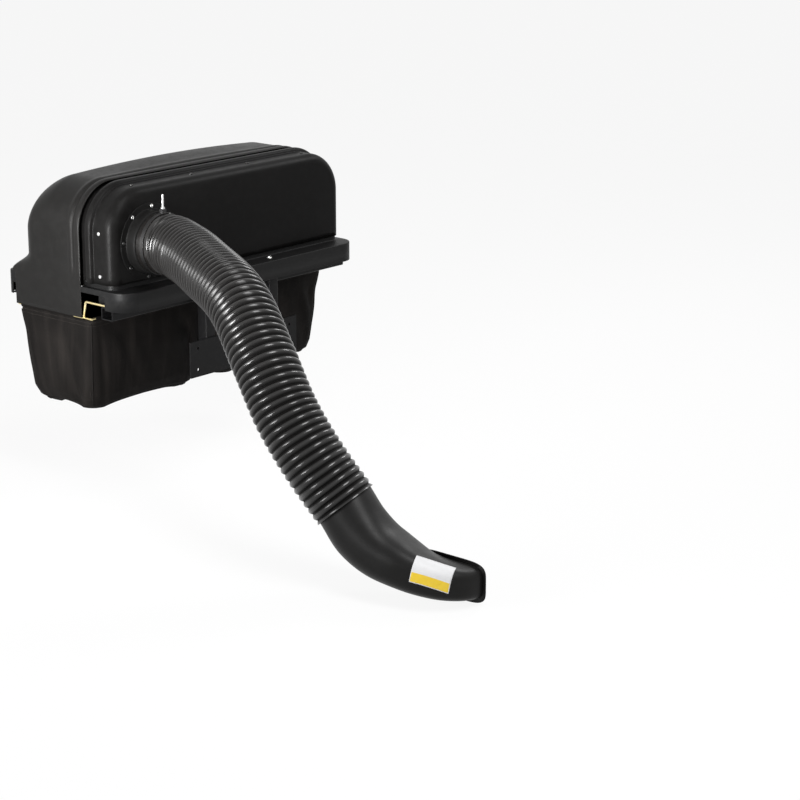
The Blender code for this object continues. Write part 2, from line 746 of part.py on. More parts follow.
def inlet_collar():
    """The collar that the duct is clamped to: flange, boss and neck in one piece."""
    bore = NECK_OUTER - NECK_WALL
    inside = -COLLAR_SPIGOT_LENGTH
    boss = COLLAR_FLANGE_THICK + COLLAR_BOSS_LENGTH
    profile = [
        (bore, boss + NECK_LENGTH), (NECK_OUTER, boss + NECK_LENGTH), (NECK_OUTER, boss),
        (COLLAR_BOSS - 0.003, boss), (COLLAR_BOSS, boss - 0.003), (COLLAR_BOSS, COLLAR_FLANGE_THICK),
        (COLLAR_FLANGE, COLLAR_FLANGE_THICK), (COLLAR_FLANGE, 0.0), (COLLAR_SPIGOT, 0.0),
        (COLLAR_SPIGOT, inside), (bore, inside),
    ]
    collar = turned(
        "inlet_collar", profile, moulded_black("inlet_collar"), (INLET_X, FACE_Y - FIT, INLET_Z),
        (0, -1, 0), 32,
    )
    for n, (place, out) in enumerate(collar_screw_seats(), 1):
        cut_screw_hole(collar, place, out)
        screw(f"collar_screw_{n}", place, out, zinc(f"collar_screw_{n}"), length=0.010, sides=8)
    return smooth(collar)


def duct_points():
    """The duct's middle line: straight off each neck, and one smooth curve between."""
    start = np.array((INLET_X, DUCT_START_Y, INLET_Z))
    end = np.array(DUCT_END)
    heading = np.array(DUCT_END_DIRECTION) / np.linalg.norm(DUCT_END_DIRECTION)
    lead = np.array((0.0, -NECK_LENGTH, 0.0))
    return [start, start + lead, *map(np.array, DUCT_ROUTE), end - heading * NECK_LENGTH, end]


def smooth_line(points, spacing):
    """A curve through the points, with each tangent from its two neighbours, at even spacing."""
    points = np.array(points)
    steps = np.linalg.norm(np.diff(points, axis=0), axis=1)
    place = np.concatenate([[0.0], np.cumsum(steps)])
    slope = np.gradient(points, place, axis=0)
    slope[0] = (points[1] - points[0]) / steps[0]
    slope[1] = slope[0]
    slope[-1] = (points[-1] - points[-2]) / steps[-1]
    slope[-2] = slope[-1]
    dense = []
    for i, step in enumerate(steps):
        t = np.linspace(0.0, 1.0, 40, endpoint=i == len(steps) - 1)[:, None]
        dense.append(
            (2 * t**3 - 3 * t**2 + 1) * points[i] + (t**3 - 2 * t**2 + t) * step * slope[i]
            + (3 * t**2 - 2 * t**3) * points[i + 1] + (t**3 - t**2) * step * slope[i + 1]
        )
    dense = np.concatenate(dense)
    run = np.concatenate([[0.0], np.cumsum(np.linalg.norm(np.diff(dense, axis=0), axis=1))])
    count = max(2, round(run[-1] / spacing))
    even = np.linspace(0.0, run[-1], count + 1)
    return np.stack([np.interp(even, run, dense[:, k]) for k in range(3)], axis=1)


def frames_along(line):
    """For each point of a line, two directions across it that turn as little as they can."""
    along = np.gradient(line, axis=0)
    along /= np.linalg.norm(along, axis=1)[:, None]
    side = np.cross(along[0], (0.0, 0.0, 1.0))
    frames = []
    for direction in along:
        side = side - direction * side.dot(direction)
        side /= np.linalg.norm(side)
        frames.append((side, np.cross(side, direction)))
    return frames


def circle(centre, frame, radius, sides):
    turn = np.linspace(0.0, 2 * math.pi, sides, endpoint=False)
    across = np.cos(turn)[:, None] * frame[0] + np.sin(turn)[:, None] * frame[1]
    return [tuple(point) for point in centre + radius * across]


def duct():
    """The ribbed duct: crests and roots outside, a plain bore inside."""
    line = smooth_line(duct_points(), DUCT_PITCH / 2)
    frames = frames_along(line)
    outer = [
        circle(point, frame, DUCT_ROOT if i % 2 else DUCT_CREST, DUCT_SIDES)
        for i, (point, frame) in enumerate(zip(line, frames))
    ]
    picks = sorted({*range(0, len(line), 5), len(line) - 1}, reverse=True)
    inner = [circle(line[i], frames[i], DUCT_BORE, DUCT_SIDES) for i in picks]
    surface = material("duct_hose", (0.020, 0.019, 0.019), 0.25)
    return grid("duct_hose", outer + inner, surface, join_ends=True)


def clamp(name, centre, along, up):
    """A hose clamp: a band with a screw housing, and the bolt that draws it tight."""
    along = Vector(along).normalized()
    up = (Vector(up) - along * Vector(up).dot(along)).normalized()
    across = along.cross(up)
    outer = CLAMP_INNER + CLAMP_THICK
    half = CLAMP_WIDTH / 2
    band = turned(
        f"{name}_band",
        [(CLAMP_INNER, half), (outer, half), (outer, -half), (CLAMP_INNER, -half)],
        zinc(f"{name}_band"), centre, along, 32,
    )
    seat = Vector(centre) + up * (outer - 0.0010)
    work = bmesh.new()
    bmesh.ops.create_cube(work, size=1.0)
    bmesh.ops.scale(work, vec=(CLAMP_HEAD, CLAMP_WIDTH * 0.9, CLAMP_HEAD * 0.7), verts=work.verts)
    bmesh.ops.translate(work, vec=(0.0, 0.0, CLAMP_HEAD * 0.35), verts=work.verts)
    turn = Matrix((across, along, up)).transposed().to_4x4()
    bmesh.ops.transform(work, matrix=Matrix.Translation(seat) @ turn, verts=work.verts)
    housing = add_object(f"{name}_housing", mesh_of(f"{name}_housing", work), None, CUTTERS)
    combine(band, housing, "UNION")
    top = seat + up * CLAMP_HEAD * 0.7
    cut_round(band, top + up * 0.01, seat + up * 0.004, CLAMP_BOLT + 0.0004, 10)
    bolt = cylinder(
        f"{name}_bolt", seat + up * 0.0044, seat + up * (0.0044 + CLAMP_BOLT_LENGTH), CLAMP_BOLT,
        zinc(f"{name}_bolt"), None, 10,
    )
    nut = cylinder(f"{name}_nut", top + up * FIT, top + up * 0.006, CLAMP_BOLT * 2.0, None, CUTTERS, 6)
    combine(bolt, nut, "UNION")


def rounded_section(centre, across, up, half_width, half_height, power, sides):
    """A superellipse: a circle at power 2, and closer to a rectangle as the power grows."""
    points = []
    for turn in np.linspace(0.0, 2 * math.pi, sides, endpoint=False):
        c, s = math.cos(turn), math.sin(turn)
        u = math.copysign(abs(c) ** (2.0 / power), c) * half_width
        v = math.copysign(abs(s) ** (2.0 / power), s) * half_height
        points.append(tuple(centre + across * u + up * v))
    return points


def boot_stations():
    """Centre, across, up, half width, half height and power of each section of the boot."""
    end = np.array(DUCT_END)
    heading = np.array(DUCT_END_DIRECTION) / np.linalg.norm(DUCT_END_DIRECTION)
    level = np.cross((0.0, 0.0, 1.0), heading)
    level /= np.linalg.norm(level)
    rise = np.cross(heading, level)
    neck = NECK_OUTER
    stations = [
        (end - heading * (NECK_LENGTH - 0.002), level, rise, neck, neck, 2.0),
        (end + heading * FIT, level, rise, neck, neck, 2.0),
        (end + heading * (FIT + 0.0005), level, rise, BOOT_ROUND, BOOT_ROUND, 2.0),
    ]
    middles = [end]
    for outer, inner, z, _, _ in BOOT_SECTIONS:
        middles.append(np.array(((outer[0] + inner[0]) / 2, (outer[1] + inner[1]) / 2, z)))
    middles.append(np.array((OUTLET_X, sum(OUTLET_Y) / 2, OUTLET_Z)))
    for i, (outer, inner, z, height, power) in enumerate(BOOT_SECTIONS, 1):
        across = np.array((inner[0] - outer[0], inner[1] - outer[1], 0.0))
        half = np.linalg.norm(across) / 2
        across /= np.linalg.norm(across)
        travel = middles[i + 1] - middles[i - 1]
        up = np.cross(travel, across)
        up *= math.copysign(1.0, up[2])
        up /= np.linalg.norm(up)
        stations.append((middles[i], across, up, half, height / 2, power))
    across, up = np.array((0.0, 1.0, 0.0)), np.array((0.0, 0.0, 1.0))
    half = (OUTLET_Y[1] - OUTLET_Y[0]) / 2
    back = middles[-1] - np.array((OUTLET_FLANGE_THICK, 0.0, 0.0))
    stations.append((back, across, up, half, OUTLET_HEIGHT / 2, 5.0))
    return stations, middles[-1]


def boot_rings():
    """The boot's outer sections, from the neck's end to the back of the flange."""
    stations, _ = boot_stations()
    return [rounded_section(c, a, u, w, h, p, BOOT_SIDES) for c, a, u, w, h, p in stations]


def grown(rings, distance):
    """The same rings, moved off their surface along its normals."""
    points = np.array(rings)
    around = np.roll(points, -1, axis=1) - np.roll(points, 1, axis=1)
    along = np.gradient(points, axis=0)
    normals = np.cross(around, along)
    normals /= np.linalg.norm(normals, axis=2)[:, :, None]
    outward = points - points.mean(axis=1)[:, None, :]
    normals *= np.sign((normals * outward).sum(axis=2))[:, :, None]
    return [[tuple(point) for point in ring] for ring in points + normals * distance]


def discharge_boot():
    """The moulded boot: a round neck inside the duct, turning to a wide outlet with a flange."""
    outer = boot_rings()
    stations, outlet = boot_stations()
    across, up = np.array((0.0, 1.0, 0.0)), np.array((0.0, 0.0, 1.0))
    half = (OUTLET_Y[1] - OUTLET_Y[0]) / 2
    wide, high = half + OUTLET_FLANGE, OUTLET_HEIGHT / 2 + OUTLET_FLANGE
    back = outlet - np.array((OUTLET_FLANGE_THICK, 0.0, 0.0))
    outer.append(rounded_section(back, across, up, wide, high, 5.0, BOOT_SIDES))
    outer.append(rounded_section(outlet, across, up, wide, high, 5.0, BOOT_SIDES))
    neck = NECK_OUTER - NECK_WALL
    inner = [
        rounded_section(c, a, u, w - BOOT_WALL, h - BOOT_WALL, p, BOOT_SIDES)
        for c, a, u, w, h, p in stations[3:]
    ]
    for i in (2, 0):
        c, a, u, _, _, p = stations[i]
        inner.insert(0, rounded_section(c, a, u, neck, neck, p, BOOT_SIDES))
    inner.append(
        rounded_section(
            outlet, across, up, half - BOOT_WALL, OUTLET_HEIGHT / 2 - BOOT_WALL, 5.0, BOOT_SIDES
        )
    )
    obj = grid(
        "discharge_boot", outer + inner[::-1], moulded_black("discharge_boot"), join_ends=True,
        triangles=True,
    )
    return smooth(obj)


def boot_label():
    """A blank label on the boot's outer side, bent to the boot's own surface."""
    skin = boot_rings()[2:]
    surface = material("boot_label", (0.80, 0.80, 0.78), 0.5)
    obj = grid("boot_label", grown(skin, FIT * 1.3), surface, triangles=True)
    thicken(obj, LABEL_THICK, outward=True)
    normal = Vector(LABEL_NORMAL).normalized()
    along = Vector((0.45, -0.85, -0.20))
    along = (along - normal * along.dot(normal)).normalized()
    work = bmesh.new()
    bmesh.ops.create_cube(work, size=1.0)
    bmesh.ops.scale(work, vec=(LABEL_LENGTH, LABEL_WIDTH, 0.08), verts=work.verts)
    turn = Matrix((along, normal.cross(along), normal)).transposed().to_4x4()
    bmesh.ops.transform(work, matrix=Matrix.Translation(LABEL_CENTRE) @ turn, verts=work.verts)
    patch = add_object("label_patch", mesh_of("label_patch", work), None, CUTTERS)
    return combine(obj, patch, "INTERSECT")


def rounded_rectangle(low, high, corner, z, bulge=0.0, steps=3, side_steps=3):
    """A rectangle in plan with round corners, its sides swelling by bulge in the middle."""
    (x0, y0), (x1, y1) = low, high
    corners = (
        (x1 - corner, y1 - corner, 0.0), (x0 + corner, y1 - corner, 0.5),
        (x0 + corner, y0 + corner, 1.0), (x1 - corner, y0 + corner, 1.5),
    )
    points = []
    for n, (x, y, start) in enumerate(corners):
        for angle in np.linspace(start * math.pi, (start + 0.5) * math.pi, steps + 1):
            points.append((x + corner * math.cos(angle), y + corner * math.sin(angle)))
        nx, ny, turn = corners[(n + 1) % 4]
        out = np.array((math.cos((start + 0.5) * math.pi), math.sin((start + 0.5) * math.pi)))
        first = np.array(points[-1])
        last = np.array((nx, ny)) + corner * out
        for share in np.linspace(0.0, 1.0, side_steps + 2)[1:-1]:
            middle = first + (last - first) * share + out * bulge * math.sin(math.pi * share)
            points.append(tuple(middle))
    return [(x, y, z) for x, y in points]


def bag(side, sign):
    """A cloth bag: a hollow with an open mouth, tapering to a rounded floor."""
    outer, inner = WIRE_X + BAG_HEM, WIRE_MIDDLE - BAG_HEM
    front, rear = FRONT_ROD_Y - BAG_HEM, REAR_ROD_Y + BAG_HEM
    depth = BAG_TOP - BAG_BOTTOM
    rings = []
    for share, bulge, corner, tuck in (
        (0.0, 0.0, 0.030, 0.0), (0.06, 0.0, 0.030, 0.0), (0.14, 0.4, 0.032, 0.0),
        (0.35, 1.0, 0.036, 0.0), (0.62, 1.0, 0.040, 0.0), (0.86, 0.7, 0.042, 0.002),
        (0.95, 0.4, 0.045, 0.010), (0.988, 0.2, 0.048, 0.024),
    ):
        taper = max(0.0, share - 0.06)
        x_out = outer - BAG_TAPER_SIDE * taper - tuck
        x_in = inner + BAG_TAPER_SIDE * taper + tuck
        low_y = front + BAG_TAPER_FRONT * taper + tuck
        high_y = rear - BAG_TAPER_REAR * taper - tuck * 2.5
        x0, x1 = sorted((sign * x_out, sign * x_in))
        rings.append(
            rounded_rectangle((x0, low_y), (x1, high_y), corner, BAG_TOP - depth * share, BAG_BULGE * bulge)
        )
    floor = [(x, y, BAG_BOTTOM) for x, y, _ in rings[-1]]
    middle = np.mean(floor, axis=0)
    rings.append([tuple(middle + (np.array(point) - middle) * (0.82, 0.82, 1.0)) for point in floor])
    obj = grid(f"bag_{side}", rings, cloth_black(f"bag_{side}"), cap_end=True)
    return smooth(thicken(obj, BAG_WALL), 50.0)


def wire(name, points, surface, collection=None, sides=2):
    """A bent rod along a list of points, as a mesh with closed ends."""
    curve = bpy.data.curves.new(name, "CURVE")
    curve.dimensions = "3D"
    curve.bevel_depth = WIRE
    curve.bevel_resolution = sides
    curve.use_fill_caps = True
    spline = curve.splines.new("POLY")
    spline.points.add(len(points) - 1)
    for slot, point in zip(spline.points, points):
        slot.co = (*point, 1.0)
    guide = bpy.data.objects.new(name + "_curve", curve)
    PARTS.objects.link(guide)
    bpy.context.view_layer.update()
    mesh = bpy.data.meshes.new_from_object(guide.evaluated_get(bpy.context.evaluated_depsgraph_get()))
    mesh.name = name
    work = bmesh.new()
    work.from_mesh(mesh)
    bmesh.ops.remove_doubles(work, verts=work.verts, dist=0.00002)
    bmesh.ops.recalc_face_normals(work, faces=work.faces)
    work.to_mesh(mesh)
    work.free()
    bpy.data.objects.remove(guide, do_unlink=True)
    return add_object(name, mesh, surface, collection)


def bend_corners(points, radius, steps=3):
    """Replaces each inner corner of a bent rod by a short arc of points."""
    made = [Vector(points[0])]
    for before, here, after in zip(points, points[1:], points[2:]):
        before, here, after = Vector(before), Vector(here), Vector(after)
        first = here + (before - here).normalized() * radius
        last = here + (after - here).normalized() * radius
        for share in np.linspace(0.0, 1.0, steps + 1):
            made.append(
                first * (1 - share) ** 2 + here * 2 * share * (1 - share) + last * share**2
            )
    made.append(Vector(points[-1]))
    return made


def bag_frame(side, sign):
    """The bag's wire frame: a loop of rods, with two hooks in front and two behind."""
    name = f"bag_frame_{side}"

    def side_rod(label, x, surface, collection=None):
        route = [
            (x, HOOK_TIP_Y, HOOK_Z), (x, HOOK_RISE_Y - HOOK_SLOPE / 2, HOOK_Z),
            (x, HOOK_RISE_Y + HOOK_SLOPE / 2, WIRE_Z), (x, REAR_ROD_Y + WIRE * 1.7, WIRE_Z),
        ]
        return wire(label, bend_corners(route, 0.0055), surface, collection)

    frame = side_rod(name, sign * WIRE_X, yellow_zinc(name))
    pieces = [side_rod(name + "_inner", sign * WIRE_MIDDLE, None, CUTTERS)]
    for label, y in (("front", FRONT_ROD_Y), ("rear", REAR_ROD_Y)):
        ends = [
            (sign * (WIRE_X + FIT * 4), y, WIRE_Z + FIT), (sign * (WIRE_MIDDLE - FIT * 4), y, WIRE_Z + FIT)
        ]
        pieces.append(cylinder(f"{name}_{label}", *ends, WIRE * 0.9, None, CUTTERS, 10))
    for label, x in (("outer", sign * WIRE_X), ("inner", sign * WIRE_MIDDLE)):
        ends = [(x + FIT, HOOK_RISE_Y + 0.025, WIRE_Z), (x + FIT, FRONT_ROD_Y - WIRE * 1.5, WIRE_Z)]
        pieces.append(cylinder(f"{name}_{label}_lead", *ends, WIRE * 0.72, None, CUTTERS, 10))
    for label, x in (
        ("outer", sign * (WIRE_X - REAR_HOOK_INSET)), ("inner", sign * (WIRE_MIDDLE + REAR_HOOK_INSET)),
    ):
        route = [
            (x, REAR_ROD_Y - WIRE * 1.6, WIRE_Z), (x, REAR_HOOK_Y - HOOK_SLOPE / 2, WIRE_Z),
            (x, REAR_HOOK_Y, HOOK_Z), (x, REAR_HOOK_TIP_Y, HOOK_Z),
        ]
        pieces.append(wire(f"{name}_{label}_rear_hook", bend_corners(route, 0.0055), None, CUTTERS))
    for piece in pieces[::-1]:
        combine(frame, piece, "UNION")
    return frame


def bag_handle(side, sign):
    """A webbing loop hanging below the bag's front corner, to tip the bag by."""
    x = sign * (WIRE_X - HANDLE_INSET)
    y = FRONT_ROD_Y - BAG_HEM + BAG_TAPER_FRONT + HANDLE_SETBACK
    rows = []
    for offset in (0.0, HANDLE_THICK):
        row = []
        for angle in np.linspace(0.0, math.pi, 9):
            reach = HANDLE_HALF - offset
            row.append((
                x - sign * reach * math.cos(angle),
                BAG_BOTTOM - FIT - (HANDLE_DROP - offset) * math.sin(angle),
            ))
        rows.append(row)
    loop = rows[0] + rows[1][::-1]
    rings = [[(px, y + shift, pz) for px, pz in loop] for shift in (-HANDLE_WIDTH / 2, HANDLE_WIDTH / 2)]
    return grid(
        f"bag_handle_{side}", rings, cloth_black(f"bag_handle_{side}"), cap_start=True, cap_end=True
    )


def build():
    support_frame()
    front_ledge()
    rear_ledge()
    front_hood()
    rear_hood()
    hood_stays()
    hinge()
    inlet_collar()
    duct()
    clamp("duct_clamp", (INLET_X, DUCT_START_Y - CLAMP_SETBACK, INLET_Z), (0, -1, 0), (0, 0, 1))
    discharge_boot()
    boot_label()
    for side, sign in (("right", -1), ("left", 1)):
        bag(side, sign)
        bag_frame(side, sign)
        bag_handle(side, sign)


build()
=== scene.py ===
# %% [markdown]
# # A twin bagger
# A twin bagger collects cut grass: a moulded hood on a steel frame feeds two cloth bags, and a ribbed
# duct brings the clippings up to it from a boot low down on the right. Its sizes are settled in a
# fixed model, so this notebook only dresses that model: it loads it as a frame, makes finer surfaces
# in the same places, and gives each one its finish.

import bmesh
import bpy
import numpy as np
from mathutils import Matrix, Vector


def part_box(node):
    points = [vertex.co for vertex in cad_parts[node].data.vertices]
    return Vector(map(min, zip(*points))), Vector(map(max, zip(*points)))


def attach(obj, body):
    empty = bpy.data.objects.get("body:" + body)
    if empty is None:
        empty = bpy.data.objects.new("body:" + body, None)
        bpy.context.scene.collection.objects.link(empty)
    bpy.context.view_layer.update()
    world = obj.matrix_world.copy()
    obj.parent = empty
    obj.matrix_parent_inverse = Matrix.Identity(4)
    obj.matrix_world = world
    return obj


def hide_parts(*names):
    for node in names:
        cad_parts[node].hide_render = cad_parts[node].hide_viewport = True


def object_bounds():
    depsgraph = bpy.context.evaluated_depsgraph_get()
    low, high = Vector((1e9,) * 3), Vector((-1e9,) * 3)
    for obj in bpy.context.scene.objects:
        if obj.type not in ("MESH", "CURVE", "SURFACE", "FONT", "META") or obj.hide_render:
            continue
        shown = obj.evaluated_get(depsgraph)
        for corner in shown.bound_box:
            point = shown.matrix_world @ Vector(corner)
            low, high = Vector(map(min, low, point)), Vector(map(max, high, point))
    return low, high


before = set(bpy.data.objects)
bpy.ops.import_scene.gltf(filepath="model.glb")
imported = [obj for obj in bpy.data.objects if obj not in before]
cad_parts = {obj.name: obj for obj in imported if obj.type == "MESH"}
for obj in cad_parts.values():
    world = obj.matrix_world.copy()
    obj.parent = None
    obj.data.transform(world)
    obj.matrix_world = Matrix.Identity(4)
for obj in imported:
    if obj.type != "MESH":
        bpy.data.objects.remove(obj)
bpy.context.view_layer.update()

# %% [markdown]
# ## Collecting a surface
# Most pieces here are grids: a row for each step along the piece and a column for each step around
# it. Working out whole arrays of points is quick, and one small class then numbers the quads, keeps
# the ones that are wanted, welds what meets, and turns the faces outwards.

# %% A skin made of grids
WELD = 0.000002


class Skin:
    """Grids of points that become one mesh. Point (r, c) of a grid has the number r * columns + c."""

    def __init__(self):
        self.points, self.faces, self.maps, self.marks, self.count = [], [], [], [], 0

    def add(self, points, rows_join=False, columns_join=False, keep=None, u=None, v=None, mark=0.0):
        """Adds a grid. u and v are lengths along and around, in metres, for the map of the surface."""
        rows, columns = points.shape[:2]
        r = np.arange(rows if rows_join else rows - 1)[:, None]
        c = np.arange(columns if columns_join else columns - 1)[None, :]
        r2, c2 = (r + 1) % rows, (c + 1) % columns
        corners = np.stack(np.broadcast_arrays(
            r * columns + c, r * columns + c2, r2 * columns + c2, r2 * columns + c
        ), axis=-1)
        u = np.arange(rows + 1.0) if u is None else u
        v = np.arange(columns + 1.0) if v is None else v
        place = np.stack([
            np.stack(np.broadcast_arrays(u[r + a], v[c + b]), axis=-1)
            for a, b in ((0, 0), (0, 1), (1, 1), (1, 0))
        ], axis=2)
        chosen = np.ones(corners.shape[:2], bool) if keep is None else keep
        self.faces.append(corners[chosen] + self.count)
        self.maps.append(place[chosen])
        self.points.append(points.reshape(-1, 3))
        self.marks.append(np.broadcast_to(mark, (rows, columns)).ravel())
        self.count += rows * columns
        return self

    def lid(self, ring):
        """Closes a flat end with a fan of quads folded onto its middle."""
        middle = np.broadcast_to(ring.mean(axis=0), ring.shape)
        return self.add(np.stack([ring, ring * 0.5 + middle * 0.5, middle]), columns_join=True)

    def mesh(self, name, sharp=40.0, inside=None):
        """Welds the grids. A closed skin is turned outwards, an open one away from the inside point."""
        made = bpy.data.meshes.new(name)
        faces = np.concatenate(self.faces)
        made.vertices.add(self.count)
        made.vertices.foreach_set("co", np.concatenate(self.points).ravel())
        made.loops.add(faces.size)
        made.loops.foreach_set("vertex_index", faces.ravel())
        made.polygons.add(len(faces))
        made.polygons.foreach_set("loop_start", np.arange(0, faces.size, 4))
        made.uv_layers.new(name="map").data.foreach_set("uv", np.concatenate(self.maps).ravel())
        made.attributes.new("mark", "FLOAT", "POINT").data.foreach_set("value", np.concatenate(self.marks))
        made.update(calc_edges=True)
        work = bmesh.new()
        work.from_mesh(made)
        bmesh.ops.remove_doubles(work, verts=work.verts, dist=WELD)
        bmesh.ops.dissolve_degenerate(work, edges=work.edges, dist=WELD / 2)
        if inside is None:
            bmesh.ops.recalc_face_normals(work, faces=work.faces)
        elif sum(f.calc_area() * f.normal.dot(f.calc_center_median() - Vector(inside)) for f in work.faces) < 0:
            bmesh.ops.reverse_faces(work, faces=work.faces)
        work.to_mesh(made)
        work.free()
        made.shade_smooth()
        made.set_sharp_from_angle(angle=np.radians(sharp))
        return made


print("a skin welds its grids and turns them outwards")

# %% [markdown]
# ## From a mesh to a piece
# A piece is an object that rides on a moving body of the model, and it may stand for the plain solid
# that it covers. A moulded wall gets its thickness from a Solidify modifier, always on the inner side.

# %% Pieces and walls
def piece(name, mesh, finish, stands_for=(), body="main", slot=None, wall=0.0):
    """Puts a mesh into the scene on its body, with its finish, in place of the nodes it stands for."""
    mesh.materials.append(finish)
    obj = bpy.data.objects.new(name, mesh)
    bpy.context.scene.collection.objects.link(obj)
    if wall:
        solid = obj.modifiers.new("wall", "SOLIDIFY")
        solid.thickness, solid.offset, solid.use_even_offset = wall, -1.0, True
    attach(obj, body)
    if stands_for:
        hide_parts(*stands_for)
    return obj


def skinned(name, skin, finish, stands_for=(), sharp=40.0, inside=None, **how):
    """Welds a skin and makes it a piece. how may say its body and its wall; its slot is not used."""
    return piece(name, skin.mesh(name, sharp, inside), finish, stands_for, **how)


# %% [markdown]
# ## Lines that pieces follow
# Wires, hoses and sections share three tools: a curve through a few points, directions across it that
# turn as little as they can, and cutting corners to round a profile.

# %% Curves, frames and softened profiles
def unit(vectors):
    """Each vector of an array divided by its own length."""
    vectors = np.asarray(vectors, float)
    return vectors / np.linalg.norm(vectors, axis=-1, keepdims=True)


def run_along(points):
    """The length run from the first point of a line to each of its points."""
    return np.concatenate([[0.0], np.cumsum(np.linalg.norm(np.diff(points, axis=0), axis=1))])


def hermite(t, step, start, end, slope_start, slope_end):
    """(2 t^3 - 3 t^2 + 1) start + (t^3 - 2 t^2 + t) step slope_start, and the same mirrored for the end."""
    return (
        (2 * t**3 - 3 * t**2 + 1) * start + (t**3 - 2 * t**2 + t) * step * slope_start
        + (3 * t**2 - 2 * t**3) * end + (t**3 - t**2) * step * slope_end
    )


def smooth_line(points, count_of):
    """Hermite curve through points, each tangent taken from the two neighbours, at even spacing.

    count_of turns the curve's length into the number of steps."""
    points = np.array(points, float)
    steps = np.linalg.norm(np.diff(points, axis=0), axis=1)
    slope = np.gradient(points, run_along(points), axis=0)
    slope[0] = slope[1] = (points[1] - points[0]) / steps[0]
    slope[-1] = slope[-2] = (points[-1] - points[-2]) / steps[-1]
    t = np.linspace(0.0, 1.0, 60)[None, :, None]
    dense = hermite(
        t, steps[:, None, None], points[:-1, None], points[1:, None], slope[:-1, None], slope[1:, None]
    ).reshape(-1, 3)
    run = run_along(dense)
    even = np.linspace(0.0, run[-1], count_of(run[-1]) + 1)
    return np.stack([np.interp(even, run, dense[:, k]) for k in range(3)], axis=1), even


def across(line, start=(0.0, 0.0, 1.0)):
    """Two unit directions across a line at each of its points, carried along without twist."""
    along = unit(np.gradient(line, axis=0))
    side = np.cross(along[0], start)
    sides = []
    for direction in along:
        side = side - direction * side.dot(direction)
        side = side / np.linalg.norm(side)
        sides.append(side)
    sides = np.array(sides)
    return sides, np.cross(sides, along)


def soften(points, passes=2, closed=False):
    """Cuts each corner of a profile at a quarter and three quarters of its two edges, a few times."""
    points = np.array(points, float)
    for _ in range(passes):
        after = np.roll(points, -1, axis=0) if closed else points[1:]
        before = points if closed else points[:-1]
        cut = np.stack([before * 0.75 + after * 0.25, before * 0.25 + after * 0.75], axis=1)
        cut = cut.reshape(-1, points.shape[1])
        points = cut if closed else np.concatenate([points[:1], cut[1:-1], points[-1:]])
    return points


def smoothstep(low, high, value):
    """3 s^2 - 2 s^3, where s is how far value is from low to high, held between nought and one."""
    share = np.clip((np.asarray(value, float) - low) / (high - low), 0.0, 1.0)
    return share * share * (3.0 - 2.0 * share)


bent, run = smooth_line([(0, 0, 0), (1, 0, 0), (2, 1, 0)], lambda length: 4)
print("a bent line of", run[-1].round(3), "starts its second step at", bent[1].round(3))

# %% [markdown]
# ## Rods and turned pieces
# A bent wire is a circle carried along a line, and a collar or a screw is a profile carried around an
# axis. Both are one formula on a grid.

# %% Rods, turned shapes and swept bands
ASKEW = (0.31, 0.17, 0.94)


def full_turn(count):
    """Even angles around a circle, from nought, without its end."""
    return np.linspace(0.0, 2 * np.pi, count, endpoint=False)


def rod(skin, line, radius, sides=16):
    """p(s, a) = line(s) + radius * (cos a * side(s) + sin a * up(s)), with both ends closed."""
    side, up = across(line, ASKEW)
    turn = full_turn(sides)[None, :, None]
    points = line[:, None] + radius * (np.cos(turn) * side[:, None] + np.sin(turn) * up[:, None])
    around = np.linspace(0.0, 2 * np.pi * radius, sides + 1)
    return skin.add(points, columns_join=True, u=run_along(line), v=around).lid(points[0]).lid(points[-1])


def basis(axis):
    """Two unit directions across an axis, and the axis itself."""
    axis = unit(axis)
    side = unit(np.cross(axis, (0.0, 0.0, 1.0) if abs(axis[2]) < 0.9 else (1.0, 0.0, 0.0)))
    return side, np.cross(axis, side), axis


def turned(skin, radius, height, origin, axis, closed=False):
    """p(r, a) = origin + radius(r, a) * (cos a * side + sin a * up) + height(r, a) * axis."""
    side, up, axis = basis(axis)
    turn = full_turn(radius.shape[1])[None, :, None]
    points = (
        np.array(origin, float) + radius[:, :, None] * (np.cos(turn) * side + np.sin(turn) * up)
        + height[:, :, None] * axis
    )
    return skin.add(points, rows_join=closed, columns_join=True)


print("rods and turned shapes are ready")

# %% [markdown]
# ## Writing a finish as sums
# A shader's numbers are easier to read as a sum than as a drawing of nodes. A Signal wraps one socket
# and turns each operator into a Math node; colours go through Mix nodes, and every other node comes
# from one method that sets its options first and its sockets after.

# %% Signals and finishes
class Signal:
    """One output of a shader node, used in sums like a number."""

    def __init__(self, nodes, socket):
        self.nodes, self.socket = nodes, socket

    def math(self, operation, *values):
        return self.nodes.node("ShaderNodeMath", {"operation": operation}, dict(enumerate(values)))

    def __add__(self, other):
        return self.math("ADD", self, other)

    def __radd__(self, other):
        return self.math("ADD", other, self)

    def __sub__(self, other):
        return self.math("SUBTRACT", self, other)

    def __rsub__(self, other):
        return self.math("SUBTRACT", other, self)

    def __mul__(self, other):
        return self.math("MULTIPLY", self, other)

    def __rmul__(self, other):
        return self.math("MULTIPLY", other, self)

    def __pow__(self, other):
        return self.math("POWER", self, other)

    def sine(self):
        return self.math("SINE", self)

    def size(self):
        return self.math("ABSOLUTE", self)

    def step(self, low, high):
        """Nought below low, one above high, and straight between."""
        return self.nodes.node(
            "ShaderNodeMapRange", {"clamp": True}, {"Value": self, "From Min": low, "From Max": high}
        )


